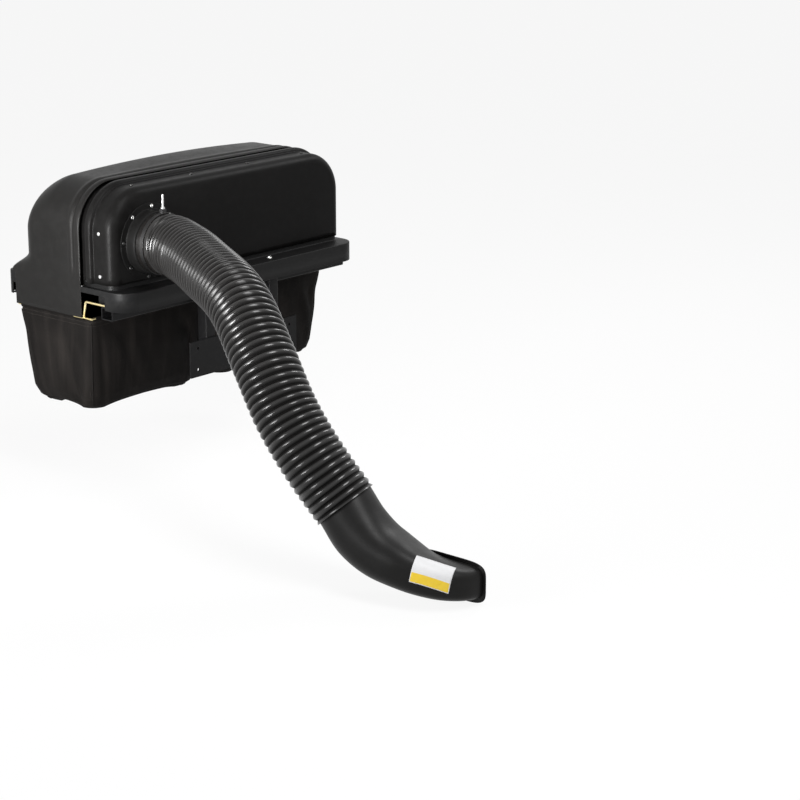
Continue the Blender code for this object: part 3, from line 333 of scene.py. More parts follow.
class Nodes:
    """A node tree, and the one method that adds nodes to it."""

    def __init__(self, tree):
        self.tree = tree

    def join(self, value, socket):
        if isinstance(value, Signal):
            self.tree.links.new(value.socket, socket)
        elif isinstance(value, tuple) and len(socket.default_value) == 4:
            socket.default_value = (*value, 1.0)
        else:
            socket.default_value = value

    def node(self, kind, settings=None, inputs=None, output=0):
        made = self.tree.nodes.new(kind)
        for option, value in (settings or {}).items():
            setattr(made, option, value)
        for key, value in (inputs or {}).items():
            self.join(value, made.inputs[key])
        return Signal(self, made.outputs[output]) if made.outputs else None


class Finish(Nodes):
    """A Principled material and the nodes that feed it."""

    def __init__(self, name, **constants):
        self.material = bpy.data.materials.new(name)
        self.material.use_nodes = True
        super().__init__(self.material.node_tree)
        self.shader = self.tree.nodes["Principled BSDF"]
        for socket, value in constants.items():
            self.join(value, self.shader.inputs[socket.replace("_", " ")])

    def place(self, stretch=(1.0, 1.0, 1.0), source="Object"):
        where = self.node("ShaderNodeTexCoord", output=source)
        return self.node("ShaderNodeMapping", {}, {"Vector": where, "Scale": stretch})

    def noise(self, scale, detail, place=None, roughness=0.5):
        return self.node("ShaderNodeTexNoise", {}, {
            "Vector": place or self.place(), "Scale": scale, "Detail": detail, "Roughness": roughness
        })

    def axis(self, place, name):
        return self.node("ShaderNodeSeparateXYZ", {}, {"Vector": place}, name)

    def mark(self):
        return self.node("ShaderNodeAttribute", {"attribute_name": "mark"}, output="Fac")

    def mix(self, share, first, second):
        return self.node("ShaderNodeMix", {"data_type": "RGBA"}, {0: share, 6: first, 7: second}, 2)

    def relief(self, height, distance, strength, under=None):
        """A bump of the height's waves, on top of the normal of the waves under it."""
        inputs = {"Height": height, "Distance": distance, "Strength": strength}
        return self.node("ShaderNodeBump", {}, {**inputs, "Normal": under} if under else inputs)

    def wear(self, colour=None, roughness=None, normal=None, coat=None):
        """Links what changes over the surface, and hands back the material."""
        changing = {"Base Color": colour, "Roughness": roughness, "Normal": normal, "Coat Weight": coat}
        for socket, value in changing.items():
            if value is not None:
                self.join(value, self.shader.inputs[socket])
        return self.material


def times(colour, share):
    """The same colour, lighter or darker."""
    return tuple(share * c for c in colour)


print("a finish is ready to be written as sums")

# %% [markdown]
# The hood, the collar and the boot are rotationally moulded: nearly black, satin, with a fine pebbled
# skin, faint clouds where the powder flowed, and a little dust that makes them duller in patches. A
# painted picture could hold all this, but noises at three scales stay sharp from near and far, and
# they need no unwrapping, because they are read in the object's own space.

# %% Finish: moulded plastic
def moulded(name, colour=(0.0046, 0.0044, 0.0043), roughness=0.31, specular=0.052, pebble=0.00016):
    finish = Finish(name, Specular_IOR_Level=specular)
    clouds = finish.noise(4.0, 5.0)
    grain = finish.noise(520.0, 3.0, roughness=0.65)
    dust = finish.noise(38.0, 6.0, roughness=0.7).step(0.45, 0.80)
    shade = finish.mix(clouds.step(0.3, 0.7), times(colour, 0.72), colour)
    shade = finish.mix(dust * 0.30, shade, tuple(1.9 * c + 0.002 for c in colour))
    dull = roughness + 0.10 * clouds + 0.12 * dust + 0.05 * grain
    flow = finish.relief(clouds, 0.004, 0.10)
    return finish.wear(shade, dull, finish.relief(grain, pebble, 0.55, flow))


hood_black = moulded("hood_black")
lid_black = moulded("lid_black", (0.0062, 0.0059, 0.0056), 0.33, 0.11)
collar_black = moulded("collar_black", (0.0042, 0.0041, 0.0040), 0.44, 0.07)
boot_black = moulded("boot_black", (0.0054, 0.0052, 0.0050), 0.32, 0.17, 0.00012)
print("moulded finishes:", hood_black.name, lid_black.name, collar_black.name, boot_black.name)

# %% [markdown]
# ## Duct plastic
# The duct is a stretched, glossy plastic. Its crests are polished and catch the light as rows of
# glints, and its grooves are painted darker as painted shade. A wave texture would have to guess where
# the rings are, so the grid carries a mark, one in a groove and nought on a crest, which steers colour,
# roughness and coat.

# %% Finish: duct plastic
def duct_plastic():
    finish = Finish("duct_gloss", Specular_IOR_Level=0.06, Coat_Roughness=0.20)
    groove = finish.mark()
    scuff = finish.noise(60.0, 5.0, finish.place((1.0, 1.0, 0.4)), 0.7)
    # Painted shade: the grooves take a near-black colour and the crests a lighter one.
    colour = finish.mix(groove, (0.0056, 0.0051, 0.0048), (0.0020, 0.0019, 0.0018))
    colour = finish.mix(scuff.step(0.58, 0.82) * 0.22, colour, (0.030, 0.027, 0.025))
    roughness = 0.30 + 0.30 * groove + 0.10 * scuff.step(0.40, 0.85)
    polish = 0.95 * (1.0 - groove) ** 2.0
    return finish.wear(colour, roughness, finish.relief(scuff, 0.0006, 0.25), polish)


duct_gloss = duct_plastic()
print("duct finish:", duct_gloss.name)

# %% [markdown]
# ## Painted steel
# The frame and the ledges are sheet and tube under a black powder coat, which has the skin of an
# orange: shallow waves a few millimetres wide. Modelled waves would be thousands of faces for a depth
# that a bump shows just as well, and the bump leaves every sheet flat.

# %% Finish: painted steel
def painted(name, colour=(0.0046, 0.0046, 0.0048), roughness=0.36, specular=0.10):
    finish = Finish(name, Specular_IOR_Level=specular)
    peel = finish.noise(190.0, 2.0)
    patch = finish.noise(9.0, 4.0)
    dust = finish.noise(70.0, 5.0, roughness=0.7).step(0.52, 0.85)
    shade = finish.mix(patch, times(colour, 0.8), times(colour, 1.15))
    shade = finish.mix(dust * 0.25, shade, (0.030, 0.028, 0.026))
    return finish.wear(shade, roughness + 0.10 * patch + 0.15 * dust, finish.relief(peel, 0.00018, 0.5))


frame_paint = painted("frame_paint")
ledge_paint = painted("ledge_paint", (0.0054, 0.0054, 0.0055), 0.40, 0.10)
hinge_paint = painted("hinge_paint", (0.0044, 0.0044, 0.0046), 0.45)
print("painted finishes:", frame_paint.name, ledge_paint.name, hinge_paint.name)

# %% [markdown]
# ## Plated steel
# Screws and wires are plated. Clear zinc is a cool grey and yellow zinc a warm one, both cloudy at
# the scale of a fingertip, with fine drawing lines and small dull spots. One metallic finish with two
# tints serves them all, so a screw and a wire differ only in a few numbers.

# %% Finish: plated steel
def plated(name, colour, tint, roughness=0.30):
    finish = Finish(name, Metallic=1.0)
    cloud = finish.noise(120.0, 4.0)
    spot = finish.noise(900.0, 3.0, roughness=0.7).step(0.62, 0.80)
    drawn = finish.noise(420.0, 2.0, finish.place((1.0, 0.12, 1.0)))
    shade = finish.mix(cloud.step(0.3, 0.7), colour, tint)
    shade = finish.mix(spot * 0.5, shade, times(colour, 0.35))
    return finish.wear(shade, roughness + 0.16 * cloud + 0.2 * spot, finish.relief(drawn, 0.00005, 0.5))


clear_zinc = plated("clear_zinc", (0.66, 0.65, 0.62), (0.52, 0.53, 0.54))
yellow_zinc = plated("yellow_zinc", (0.74, 0.60, 0.27), (0.62, 0.55, 0.36), 0.26)
# A dark steel: the top screws and the clamp band are black, and on three collar screws it is painted shade.
black_steel_and_shade = plated("black_steel_and_painted_shade", (0.060, 0.058, 0.056), (0.040, 0.040, 0.042), 0.38)
print("plated finishes:", clear_zinc.name, yellow_zinc.name, black_steel_and_shade.name)

# %% [markdown]
# ## Woven cloth
# The bags are a coated polyester cloth. Threads as geometry would be millions of faces, so the weave
# is a tint and a bump. The map of each bag counts metres around and down, so warp and weft are two
# waves across each other, and the threads pass over and under where the waves multiply. The hem has
# two rows of stitches, soft grey dust lies in the folds, and long upright streaks are lightened as a
# painted highlight on the pleats.

# %% Finish: woven cloth
THREAD_STEP, STITCH_PITCH, STITCH_HALF = 0.0011, 0.0055, 0.0006


def woven(name, colour, lighter, thread=THREAD_STEP, stitches=()):
    """Over and under: weave = 0.5 + 0.5 * sin(warp) * sin(weft), with slubs drawn out along the warp."""
    finish = Finish(name, Specular_IOR_Level=0.06)
    map_place = finish.place(source="UV")
    down, around = finish.axis(map_place, "X"), finish.axis(map_place, "Y")
    warp = (around * (np.pi / thread)).sine()
    weft = (down * (np.pi / thread)).sine()
    weave = warp * weft * 0.5 + 0.5
    cloud = finish.noise(14.0, 5.0, roughness=0.6)
    slub = finish.noise(1.0, 3.0, finish.place((900.0, 60.0, 1.0), "UV"))
    # Painted highlight: long upright streaks, lightened at random, stand in for light on the pleats.
    pleat_highlight = finish.noise(1.0, 4.0, finish.place((2.2, 24.0, 1.0), "UV"))
    height = weave * 0.6 + slub * 0.4
    shade = finish.mix(height, times(colour, 0.6), lighter)
    shade = finish.mix(cloud.step(0.35, 0.75) * 0.5, shade, colour)
    shade = finish.mix(pleat_highlight.step(0.48, 0.72) * 0.55, shade, times(lighter, 1.9))
    shade = finish.mix(finish.mark() * 0.40, shade, times(lighter, 2.6))
    normal = finish.relief(height, 0.00035, 0.6, finish.relief(cloud, 0.006, 0.22))
    for row in stitches:
        line = 1.0 - (down - row).size().step(STITCH_HALF, 0.0011)
        dash = (around * (2 * np.pi / STITCH_PITCH)).sine().step(-0.25, 0.05)
        shade = finish.mix(line * dash, shade, times(lighter, 3.2))
        normal = finish.relief(line * dash, 0.0012, 0.8, normal)
    return finish.wear(shade, 0.70 + 0.16 * cloud - 0.08 * weave, normal)


bag_cloth = woven("bag_cloth", (0.0028, 0.0024, 0.0022), (0.0062, 0.0053, 0.0048), stitches=(0.008, 0.020))
piping_cloth = woven("piping_cloth", (0.0048, 0.0043, 0.0040), (0.0090, 0.0080, 0.0075), 0.0009)
webbing = woven("webbing", (0.060, 0.058, 0.054), (0.110, 0.105, 0.098), 0.0016)
print("cloth finishes:", bag_cloth.name, piping_cloth.name, webbing.name)

# %% [markdown]
# ## The hood's outline
# Seen from the front, both halves of the hood share one outline: straight sides, round shoulders and
# a flat top. An inset moves all of it inwards, so a whole moulding is one call with a column of insets.

# %% The hood's sizes and outline
HOOD_HALF, HOOD_TOP, HOOD_CORNER, HOOD_FOOT = 0.545, 0.598, 0.150, 0.287
SHELF, SHOULDER, FACE_Y, MOULDED_WALL = 0.272, 0.448, 0.050, 0.004
INLET, INLET_HOLE = (-0.370, 0.410), 0.0966
ARC = np.linspace(0.0, np.pi / 2, 25)[1:]
FLAT = np.linspace(0.0, 1.0, 15)[1:]
SIDE_HEIGHTS = np.linspace(HOOD_FOOT, SHOULDER, 9)


def hood_outline(inset, heights, crown=0.0):
    """x and z of the outline, a row for each inset, from the right foot up and over to the left foot.

    Sides: x = -(half - inset). Shoulders: a quarter circle of radius corner - inset. The top rises by
    crown * (1 - (x / reach) ** 2)."""
    inset = np.asarray(inset, float).reshape(-1, 1)
    half, top, corner = HOOD_HALF - inset, HOOD_TOP - inset, HOOD_CORNER - inset
    x = np.concatenate([
        -half * np.ones(len(heights)), corner - half - corner * np.cos(ARC), (corner - half) * (1 - FLAT)
    ], axis=1)
    z = np.concatenate([
        np.ones_like(inset) * heights, SHOULDER + corner * np.sin(ARC), top * np.ones(len(FLAT))
    ], axis=1)
    x, z = np.concatenate([x, -x[:, -2::-1]], axis=1), np.concatenate([z, z[:, -2::-1]], axis=1)
    rise = crown * (1 - np.clip(np.abs(x) / (half - corner), 0.0, 1.0) ** 2)
    return x, z + np.where(z >= top - 1e-6, rise, 0.0)


print("outline points:", hood_outline(0.0, SIDE_HEIGHTS)[0].shape[1])

# %% [markdown]
# ## The front half of the hood
# One moulding makes the front: a lip that the lid closes over, a round bead, a recessed band with the
# screws in it, a fillet and the flat face. The profile runs from back to front and its corners are cut
# until they look moulded. The face is a patch whose rows shrink from the outline to the inlet's hole.

# %% Front half of the hood
BAND_INSET, FILLET, FILLET_Y, LIP_Y, LIP_DROP = 0.013, 0.034, 0.084, 0.189, 0.019
lip = [(0.225, 0.020), (0.190, 0.020), (0.170, 0.020), (0.1655, 0.016), (0.1635, 0.008), (0.1610, 0.002),
       (0.1545, 0.0), (0.1460, 0.0), (0.1395, 0.002), (0.1362, 0.006), (0.1338, 0.0115), (0.1300, 0.0132),
       (0.110, BAND_INSET), (0.090, BAND_INSET)]
turn = np.linspace(0.0, np.pi / 2, 13)
fillet = np.stack([FILLET_Y - FILLET * np.sin(turn), BAND_INSET + FILLET * (1 - np.cos(turn))], axis=-1)
profile = np.concatenate([soften(lip, 3), fillet])
steps = np.linalg.norm(np.diff(profile, axis=0), axis=1)
profile = profile[np.concatenate([[True], steps > 0.0004])]
x, z = hood_outline(profile[:, 1], SIDE_HEIGHTS)
shell = np.stack([x, np.broadcast_to(profile[:, :1], x.shape), z], axis=-1)
lap = profile[:, 0] > LIP_Y
shell[lap, 0, 2] = shell[lap, -1, 2] = HOOD_FOOT - LIP_DROP
foot = np.linspace(shell[-1, -1], shell[-1, 0], 40)[1:-1]
rim = np.concatenate([shell[-1], foot])
angle = np.arctan2(rim[:, 2] - INLET[1], rim[:, 0] - INLET[0])
hole = np.stack([
    INLET[0] + INLET_HOLE * np.cos(angle), np.full(len(rim), FACE_Y), INLET[1] + INLET_HOLE * np.sin(angle)
], axis=-1)
share = (np.linspace(0.0, 1.0, 12) ** 0.8)[:, None, None]
skin = Skin().add(shell).add(rim * (1 - share) + hole * share, columns_join=True)
front_hood = skinned(
    "front_hood_shell", skin, hood_black, ("front_hood",), 50, (0, 0.2, 0.35), wall=MOULDED_WALL,
)
print("front half:", len(front_hood.data.polygons), "faces from", len(profile), "rows")

# %% [markdown]
# ## The lid
# The rear half is a lid. Its front edge has a stepped bead, its back turns down in two big rounds, its
# foot flares out to the full width, and its two ends hang down as skirts beside the bags. A row of
# the grid is one section of the lid; below the ledge only the skirts' part of each row is kept.

# %% The lid
LID_FRONT, LID_BACK, FLARE, FLARE_TOP, SKIRT_FOOT, SKIRT_Y = 0.188, 0.485, 0.030, SHELF + 0.070, 0.170, 0.473
SIDE_ROUND, TOP_ROUND, LID_INSET, EDGE_END, CROWN, CROWN_RUN = 0.085, 0.165, 0.0030, 0.0751, 0.012, 0.13


def lid_low(height):
    """One at the lid's foot and nought above its flare."""
    return 1.0 - smoothstep(SHELF + 0.012, FLARE_TOP, height)


def rounded_in(y, radius):
    """How far a quarter round that ends at the lid's back has come in at y."""
    run = np.clip(y - (LID_BACK - radius), 0.0, radius)
    return radius - np.sqrt(radius**2 - run**2)


def lid_sections(y, side, top, crown):
    """Full-width outline, narrowed by side above the flare, pressed down by top, leaning back low down."""
    y, side, top, crown = (np.asarray(value, float).reshape(-1, 1) for value in (y, side, top, crown))
    heights = np.concatenate([
        np.linspace(SKIRT_FOOT, SHELF, 9), np.linspace(0.278, 0.350, 15), np.linspace(0.362, SHOULDER, 6)
    ])
    x, z = hood_outline(np.zeros(len(y)), heights, crown)
    low = lid_low(z)
    press = (HOOD_TOP - top - FLARE_TOP) / (HOOD_TOP - FLARE_TOP)
    narrowed = x * (HOOD_HALF - side * (1 - low)) / HOOD_HALF
    back = y + FLARE * low * smoothstep(LID_FRONT + 0.16, LID_BACK - 0.015, y)
    return np.stack([narrowed, back, np.where(z > FLARE_TOP, FLARE_TOP + (z - FLARE_TOP) * press, z)], axis=-1)


edge = soften([(0.0, 0.0045), (0.003, 0.0012), (0.010, 0.0), (0.016, 0.0), (0.022, 0.0012), (0.029, 0.0042),
               (0.034, 0.0042), (0.040, 0.0010), (0.048, 0.0005), (0.060, 0.0030), (0.075, LID_INSET)], 2)
turn = np.linspace(0.0, np.pi / 2, 30)
plain = LID_BACK - TOP_ROUND + TOP_ROUND * np.sin(turn)
y = np.sort(np.concatenate([LID_FRONT + edge[:, 0], [0.278, 0.292, 0.306], plain[1:], [SKIRT_Y]]))
stepped = y < LID_FRONT + EDGE_END
bead = np.interp(y - LID_FRONT, edge[:, 0], edge[:, 1])
side = np.where(stepped, bead, np.maximum(LID_INSET, rounded_in(y, SIDE_ROUND)))
top = np.where(stepped, side, np.maximum(LID_INSET, rounded_in(y, TOP_ROUND)))
lid = lid_sections(y, side, top, CROWN * np.clip((y - LID_FRONT) / CROWN_RUN, 0.0, 1.0))
middle_z = (lid[:-1, :-1, 2] + lid[1:, 1:, 2]) / 2
middle_y = (y[:-1] + y[1:])[:, None] / 2
whole = (middle_z > SHELF) | (middle_y < SKIRT_Y)
rim = lid[-1][lid[-1, :, 2] >= SHELF - 1e-6]
base = np.stack([np.linspace(rim[0, 0], rim[-1, 0], len(rim)), rim[:, 1], np.full(len(rim), SHELF)], axis=-1)
share = np.linspace(0.0, 1.0, 26)[:, None, None]
wall = rim * (1 - share) + base * share
wall[:, :, 1] = LID_BACK + FLARE * lid_low(wall[:, :, 2])
skin = Skin().add(lid, keep=whole).add(wall)
rear_hood = skinned(
    "lid_shell", skin, lid_black, ("rear_hood",), 50, (0, 0.3, 0.35), body="lid", wall=MOULDED_WALL,
)
skirt_end = lid[y <= SKIRT_Y + 1e-9][-1, 0, 1]
print("lid:", len(rear_hood.data.polygons), "faces; skirts end at", round(float(skirt_end), 3))

# %% [markdown]
# ## Ledges under the hood
# The hood stands on two folded steel rims, one in front and one behind. A ledge is a skirt, a shelf
# and an upstand, so it can be drawn as rows between its outer and its inner edge in plan, with more
# rows where the sheet is bent. The ends are notched for the bags' hooks.

# %% Ledges
SHEET, UPSTAND_CUT = 0.003, 0.0144


def ledge_edge(half, front, corner, ends):
    """Plan of one edge: along the side, round a corner, and the same mirrored. ends are the side's y."""
    sign = np.sign(ends[0] - front)
    a = np.linspace(0.0, np.pi / 2, 17)[1:]
    x = np.concatenate([np.full(len(ends), -half), -half + corner * (1 - np.cos(a))])
    y = np.concatenate([ends, front + sign * corner * (1 - np.sin(a))])
    points = np.stack([x, y], axis=-1)
    return np.concatenate([points, points[::-1] * (-1, 1)])


def ledge(outer, inner, skirt, upstand, notch, notch_columns, cut_columns=0):
    """Rows of (share across, height) from the skirt's foot over the shelf to the upstand's edge."""
    rows = [(0.0, SHELF - skirt), (0.0, notch), (0.0, SHELF - 0.012), (0.0, SHELF - 0.004),
            (0.004, SHELF - 0.0016), (0.018, SHELF - 0.0003), (0.040, SHELF), (0.5, SHELF), (0.97, SHELF),
            (0.99, SHELF + 0.0004)]
    if upstand:
        rows += [(1.0, SHELF + 0.003), (1.0, SHELF + UPSTAND_CUT), (1.0, SHELF + upstand)]
    else:
        rows.append((1.0, SHELF))
    share, height = np.array(rows).T[:, :, None]
    plan = outer[None] * (1 - share[..., None]) + inner[None] * share[..., None]
    points = np.concatenate([plan, np.broadcast_to(height[..., None], (*plan.shape[:2], 1))], axis=-1)
    keep = np.ones((len(rows) - 1, len(outer) - 1), bool)
    keep[0, :notch_columns] = keep[0, -notch_columns:] = False
    if cut_columns:
        keep[-1, :cut_columns] = keep[-1, -cut_columns:] = False
    return Skin().add(points, keep=keep)


front_outer = ledge_edge(HOOD_HALF, -0.017, 0.066, np.array([0.186, 0.151, 0.112, 0.076, 0.062, 0.049]))
front_inner = ledge_edge(0.5277, 0.0543, 0.031, np.array([0.186, 0.151, 0.126, 0.108, 0.096, 0.0853]))
rear_outer = ledge_edge(0.530, 0.565, 0.030, np.array([0.475, 0.500, 0.535]))
rear_inner = ledge_edge(0.500, 0.505, 0.012, np.array([0.475, 0.486, 0.493]))
for name, skin, middle_y in (
    ("front_ledge", ledge(front_outer, front_inner, 0.062, 0.022, 0.254, 3, 1), 0.09),
    ("rear_ledge", ledge(rear_outer, rear_inner, 0.077, 0.0, 0.2325, 2), 0.49),
):
    made = skinned(f"{name}_sheet", skin, ledge_paint, (name,), 60, (0, middle_y, 0.20), wall=SHEET)
    print(name, "has", len(made.data.polygons), "faces")

# %% [markdown]
# ## Tubes and flat bars
# Welded frames are made of square tube with rounded edges. A rounded square is carried along each
# tube, outside and back inside. The flat pieces are already right in the model, so a welded copy of
# each gets a small bevel, which is what makes sheet steel look cut and painted.

# %% Square tubes and eased flat pieces
TUBE_EASE, TUBE_WALL, LEAST_EASE = 0.004, 0.003, 0.0012


def square_tube(name, along):
    """A tube in a node's own box: rounded outside, straight walls inside, open at both ends."""
    low, high = (np.array(corner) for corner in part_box(name))
    a, b = [axis for axis in range(3) if axis != along]
    turn = np.linspace(0.0, np.pi / 2, 6)
    rings = []
    for inset, at in ((0.0, low), (0.0, high), (TUBE_WALL, high), (TUBE_WALL, low)):
        radius = max(TUBE_EASE - inset, LEAST_EASE)
        ring = np.zeros((len(turn) * 4, 3))
        for n, (sa, sb) in enumerate(((1, 1), (-1, 1), (-1, -1), (1, -1))):
            part, bent = slice(n * len(turn), (n + 1) * len(turn)), turn + n * np.pi / 2
            for axis, sign, way in ((a, sa, np.cos(bent)), (b, sb, np.sin(bent))):
                middle, half = (low[axis] + high[axis]) / 2, (high[axis] - low[axis]) / 2
                ring[part, axis] = middle + sign * (half - inset - radius) + radius * way
        ring[:, along] = at[along]
        rings.append(ring)
    skin = Skin().add(np.array(rings), rows_join=True, columns_join=True)
    return skinned(f"{name}_tube", skin, frame_paint, (name,))


def eased(name, finish, width, body="main", angle=30.0):
    """A welded copy of a node's own mesh, with bevelled edges."""
    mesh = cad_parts[name].data.copy()
    work = bmesh.new()
    work.from_mesh(mesh)
    bmesh.ops.remove_doubles(work, verts=work.verts, dist=WELD)
    bmesh.ops.dissolve_limit(work, angle_limit=0.01, verts=work.verts, edges=work.edges)
    work.to_mesh(mesh)
    work.free()
    mesh.materials.clear()
    mesh.shade_smooth()
    mesh.set_sharp_from_angle(angle=np.radians(angle))
    obj = piece(f"{name}_eased", mesh, finish, (name,), body)
    bevel = obj.modifiers.new("eased", "BEVEL")
    bevel.width, bevel.segments, bevel.limit_method, bevel.angle_limit = width, 2, "ANGLE", np.radians(angle)
    return obj


for name, along in (("upright_left", 2), ("upright_right", 2), ("cross_tube", 0), ("spine_tube", 1)):
    square_tube(name, along)
for name in ("mount_plate", "rear_beam", "hood_bracket_left", "hood_bracket_right", "top_stiffener"):
    eased(name, frame_paint, 0.0009)
eased("hinge_leaf_lower", hinge_paint, 0.0003)
eased("hinge_leaf_upper", hinge_paint, 0.0003, "lid")
eased("hinge_pin", clear_zinc, 0.0003)
print("frame tubes and flat pieces are dressed")

# %% [markdown]
# ## Screws and bolts
# The hood and the collar are held by pan-head screws with a cross recess, and the ledges by flanged
# hexagon bolts. Both heads are one formula: a radius and a height for each step out from the middle
# and each step around.

# %% Screws and bolts
SIDES = (("right", -1), ("left", 1))
HEAD_GAP = 0.0003


def fastener(name, rows, seat, out, sharp, finish=clear_zinc):
    """A turned head and shank from (radius, height) rows, a hair above the face it sits on."""
    radius, height = (np.concatenate([np.atleast_2d(row[k]) for row in rows]) for k in (0, 1))
    seat = np.array(seat) + np.array(out) * HEAD_GAP
    return skinned(f"{name}_head", turned(Skin(), radius, height, seat, out), finish, (name,), sharp)


def pan_screw(name, seat, out, slot_turn, finish=clear_zinc, length=0.012):
    """Head height = 3 mm * (1 - 0.22 * (r / R) ** 3), less the recess, a cross with sloping walls."""
    head, high, shank = 0.0060, 0.0030, 0.0025
    turn = full_turn(40)[None, :]
    r = np.linspace(0.0, 0.92, 14)[:, None] * head
    u, v = r * np.cos(turn + slot_turn), r * np.sin(turn + slot_turn)
    arm = np.minimum(np.abs(u), np.abs(v))
    recess = smoothstep(0.0012, 0.0006, arm) * smoothstep(0.0039, 0.0030, r)
    top = high * (1 - 0.22 * (r / head) ** 3) - 0.0014 * recess
    edge = [(0.985 * head, 0.66 * high), (head, 0.50 * high), (head, 0.08 * high), (0.97 * head, 0.0),
            (0.45 * head, 0.0), (shank, 0.0), (shank, 0.001 - length), (shank * 0.7, -length), (0.0, -length)]
    rows = [(np.broadcast_to(r, top.shape), top)]
    rows += [(np.full_like(turn, radius), np.full_like(turn, height)) for radius, height in edge]
    return fastener(name, rows, seat, out, 35, finish)


def hex_bolt(name, seat, out):
    """Across the flats the radius is a / cos(angle from the flat's middle), over a round flange."""
    flat, high, flange, shank, length = 0.0066, 0.0052, 0.0098, 0.0038, 0.012
    turn = full_turn(48)[None, :]
    hexagon = flat / np.cos((turn + np.pi / 6) % (np.pi / 3) - np.pi / 6)
    edge = [(0.0, high), (flat * 0.60, high), (flat * 0.94, high),
            (np.minimum(hexagon, flat * 1.03), high - 0.0003), (hexagon, high - 0.0012), (hexagon, 0.0016),
            (hexagon * 1.05, 0.0012), (flange * 0.96, 0.0010), (flange, 0.0006), (flange, 0.0),
            (shank, 0.0), (shank, -length), (0.0, -length)]
    rows = [(np.broadcast_to(radius, turn.shape), np.full_like(turn, height)) for radius, height in edge]
    return fastener(name, rows, seat, out, 30)


COLLAR_CIRCLE, COLLAR_FACE = 0.113, 0.0467
for n, x in enumerate((-0.393, -0.131, 0.131, 0.393), 1):
    pan_screw(f"top_screw_{n}", (x, 0.102, 0.585), (0, 0, 1), 0.3 * n, black_steel_and_shade)
for n, (sign, z) in enumerate([(-1, 0.313), (-1, 0.450), (1, 0.313), (1, 0.450)], 1):
    pan_screw(f"side_screw_{n}", (sign * 0.532, 0.1055, z), (sign, 0, 0), 0.5 * n)
for n in range(8):
    a = np.radians(-5.0 + 45.0 * n)
    seat = (INLET[0] + COLLAR_CIRCLE * np.cos(a), COLLAR_FACE, INLET[1] + COLLAR_CIRCLE * np.sin(a))
    # The three lower collar screws take the dark steel as painted shade, where the duct shades them.
    finish = black_steel_and_shade if n in (4, 5, 6) else clear_zinc
    pan_screw(f"collar_screw_{n + 1}", seat, (0, -1, 0), 0.7 * n, finish, 0.010)
for side, sign in SIDES:
    hex_bolt(f"front_ledge_bolt_{side}", (sign * 0.150, 0.0263, SHELF), (0, 0, 1))
    hex_bolt(f"rear_ledge_bolt_{side}", (sign * 0.300, 0.565, 0.206), (0, 1, 0))
print("16 screws and 4 bolts")

# %% [markdown]
# ## The inlet collar
# The collar is a flange screwed to the hood's face, a boss, and a neck that the duct slides over. It
# is a solid of turning, so its profile is softened and carried around the inlet's axis.

# %% Inlet collar
ring = soften([
    (0.082, 0.092), (0.0835, 0.0921), (0.085, 0.090), (0.085, 0.041), (0.0865, 0.040), (0.098, 0.040),
    (0.102, 0.036), (0.102, 0.010), (0.1035, 0.0036), (0.107, 0.003), (0.1225, 0.003), (0.124, 0.0022),
    (0.124, 0.0), (0.096, 0.0), (0.096, -0.016), (0.082, -0.016),
], 2, closed=True)
radius, height = (np.repeat(ring[:, k:k + 1], 96, axis=1) for k in (0, 1))
skin = turned(Skin(), radius, height, (INLET[0], 0.0497, INLET[1]), (0, -1, 0), closed=True)
collar = skinned("inlet_collar_ring", skin, collar_black, ("inlet_collar",), 45)
print("collar:", len(collar.data.polygons), "faces")

# %% [markdown]
# ## The duct
# The duct is one long tube of rings. Its line leaves both necks straight and bends smoothly between
# them; the radius follows the rings, broad at the crests and narrow in the grooves, and it is plain
# where the top end is clamped over the collar's neck. Both its ends are held, so it is a piece that
# keeps its shape.

# %% The duct
DUCT_START, DUCT_END = np.array((INLET[0], 0.0094, INLET[1])), np.array((-0.650, -1.032, -0.163))
DUCT_HEADING = unit((0.19, -0.62, -0.76))
STRAIGHT, HALF_PITCH, STEPS, ROUND = 0.052, 0.011, 7, 80
CREST, GROOVE, CUFF, BORE = 0.0970, 0.0903, 0.0962, 0.0866
route = [
    DUCT_START, DUCT_START - (0, STRAIGHT, 0), (-0.400, -0.150, 0.403), (-0.470, -0.309, 0.386),
    (-0.585, -0.567, 0.329), (-0.650, -0.719, 0.209), (-0.680, -0.842, 0.066), (-0.675, -0.940, -0.050),
    DUCT_END - DUCT_HEADING * STRAIGHT, DUCT_END,
]
line, run = smooth_line(route, lambda length: max(2, round(length / HALF_PITCH)) * STEPS)
side, up = across(line)
phase = np.arange(len(line)) / STEPS
crest = (0.5 + 0.5 * np.cos(np.pi * phase)) ** 0.62
cuff = smoothstep(4.6, 3.9, phase)
radius = (GROOVE + (CREST - GROOVE) * crest) * (1 - cuff) + CUFF * cuff
groove = (1 - crest) * (1 - cuff)
turn = full_turn(ROUND)[None, :, None]
ring = np.cos(turn) * side[:, None] + np.sin(turn) * up[:, None]
outer = line[:, None] + radius[:, None, None] * ring
inner = (line[:, None] + BORE * ring)[::-2 * STEPS]
# Inside, the mark is 0.6, so the bore is painted darker too, as painted shade, and is duller.
skin = Skin().add(
    np.concatenate([outer, inner]), rows_join=True, columns_join=True,
    u=np.concatenate([run, run[::-2 * STEPS], [0.0]]), v=np.linspace(0.0, 0.6, ROUND + 1),
    mark=np.concatenate([groove, np.full(len(inner), 0.6)])[:, None],
)
duct = skinned("duct_rings", skin, duct_gloss, ("duct_hose",), 80)
rings = int(len(line) / (2 * STEPS))
print("duct:", round(float(run[-1]), 3), "m long,", rings, "rings,", len(duct.data.polygons), "faces")

# %% [markdown]
# ## Duct clamp
# The duct's top end is held by a band with a small screw housing and a long bright bolt; its foot is
# pushed over the boot's neck. The model's own shapes are right here, so they are eased copies.

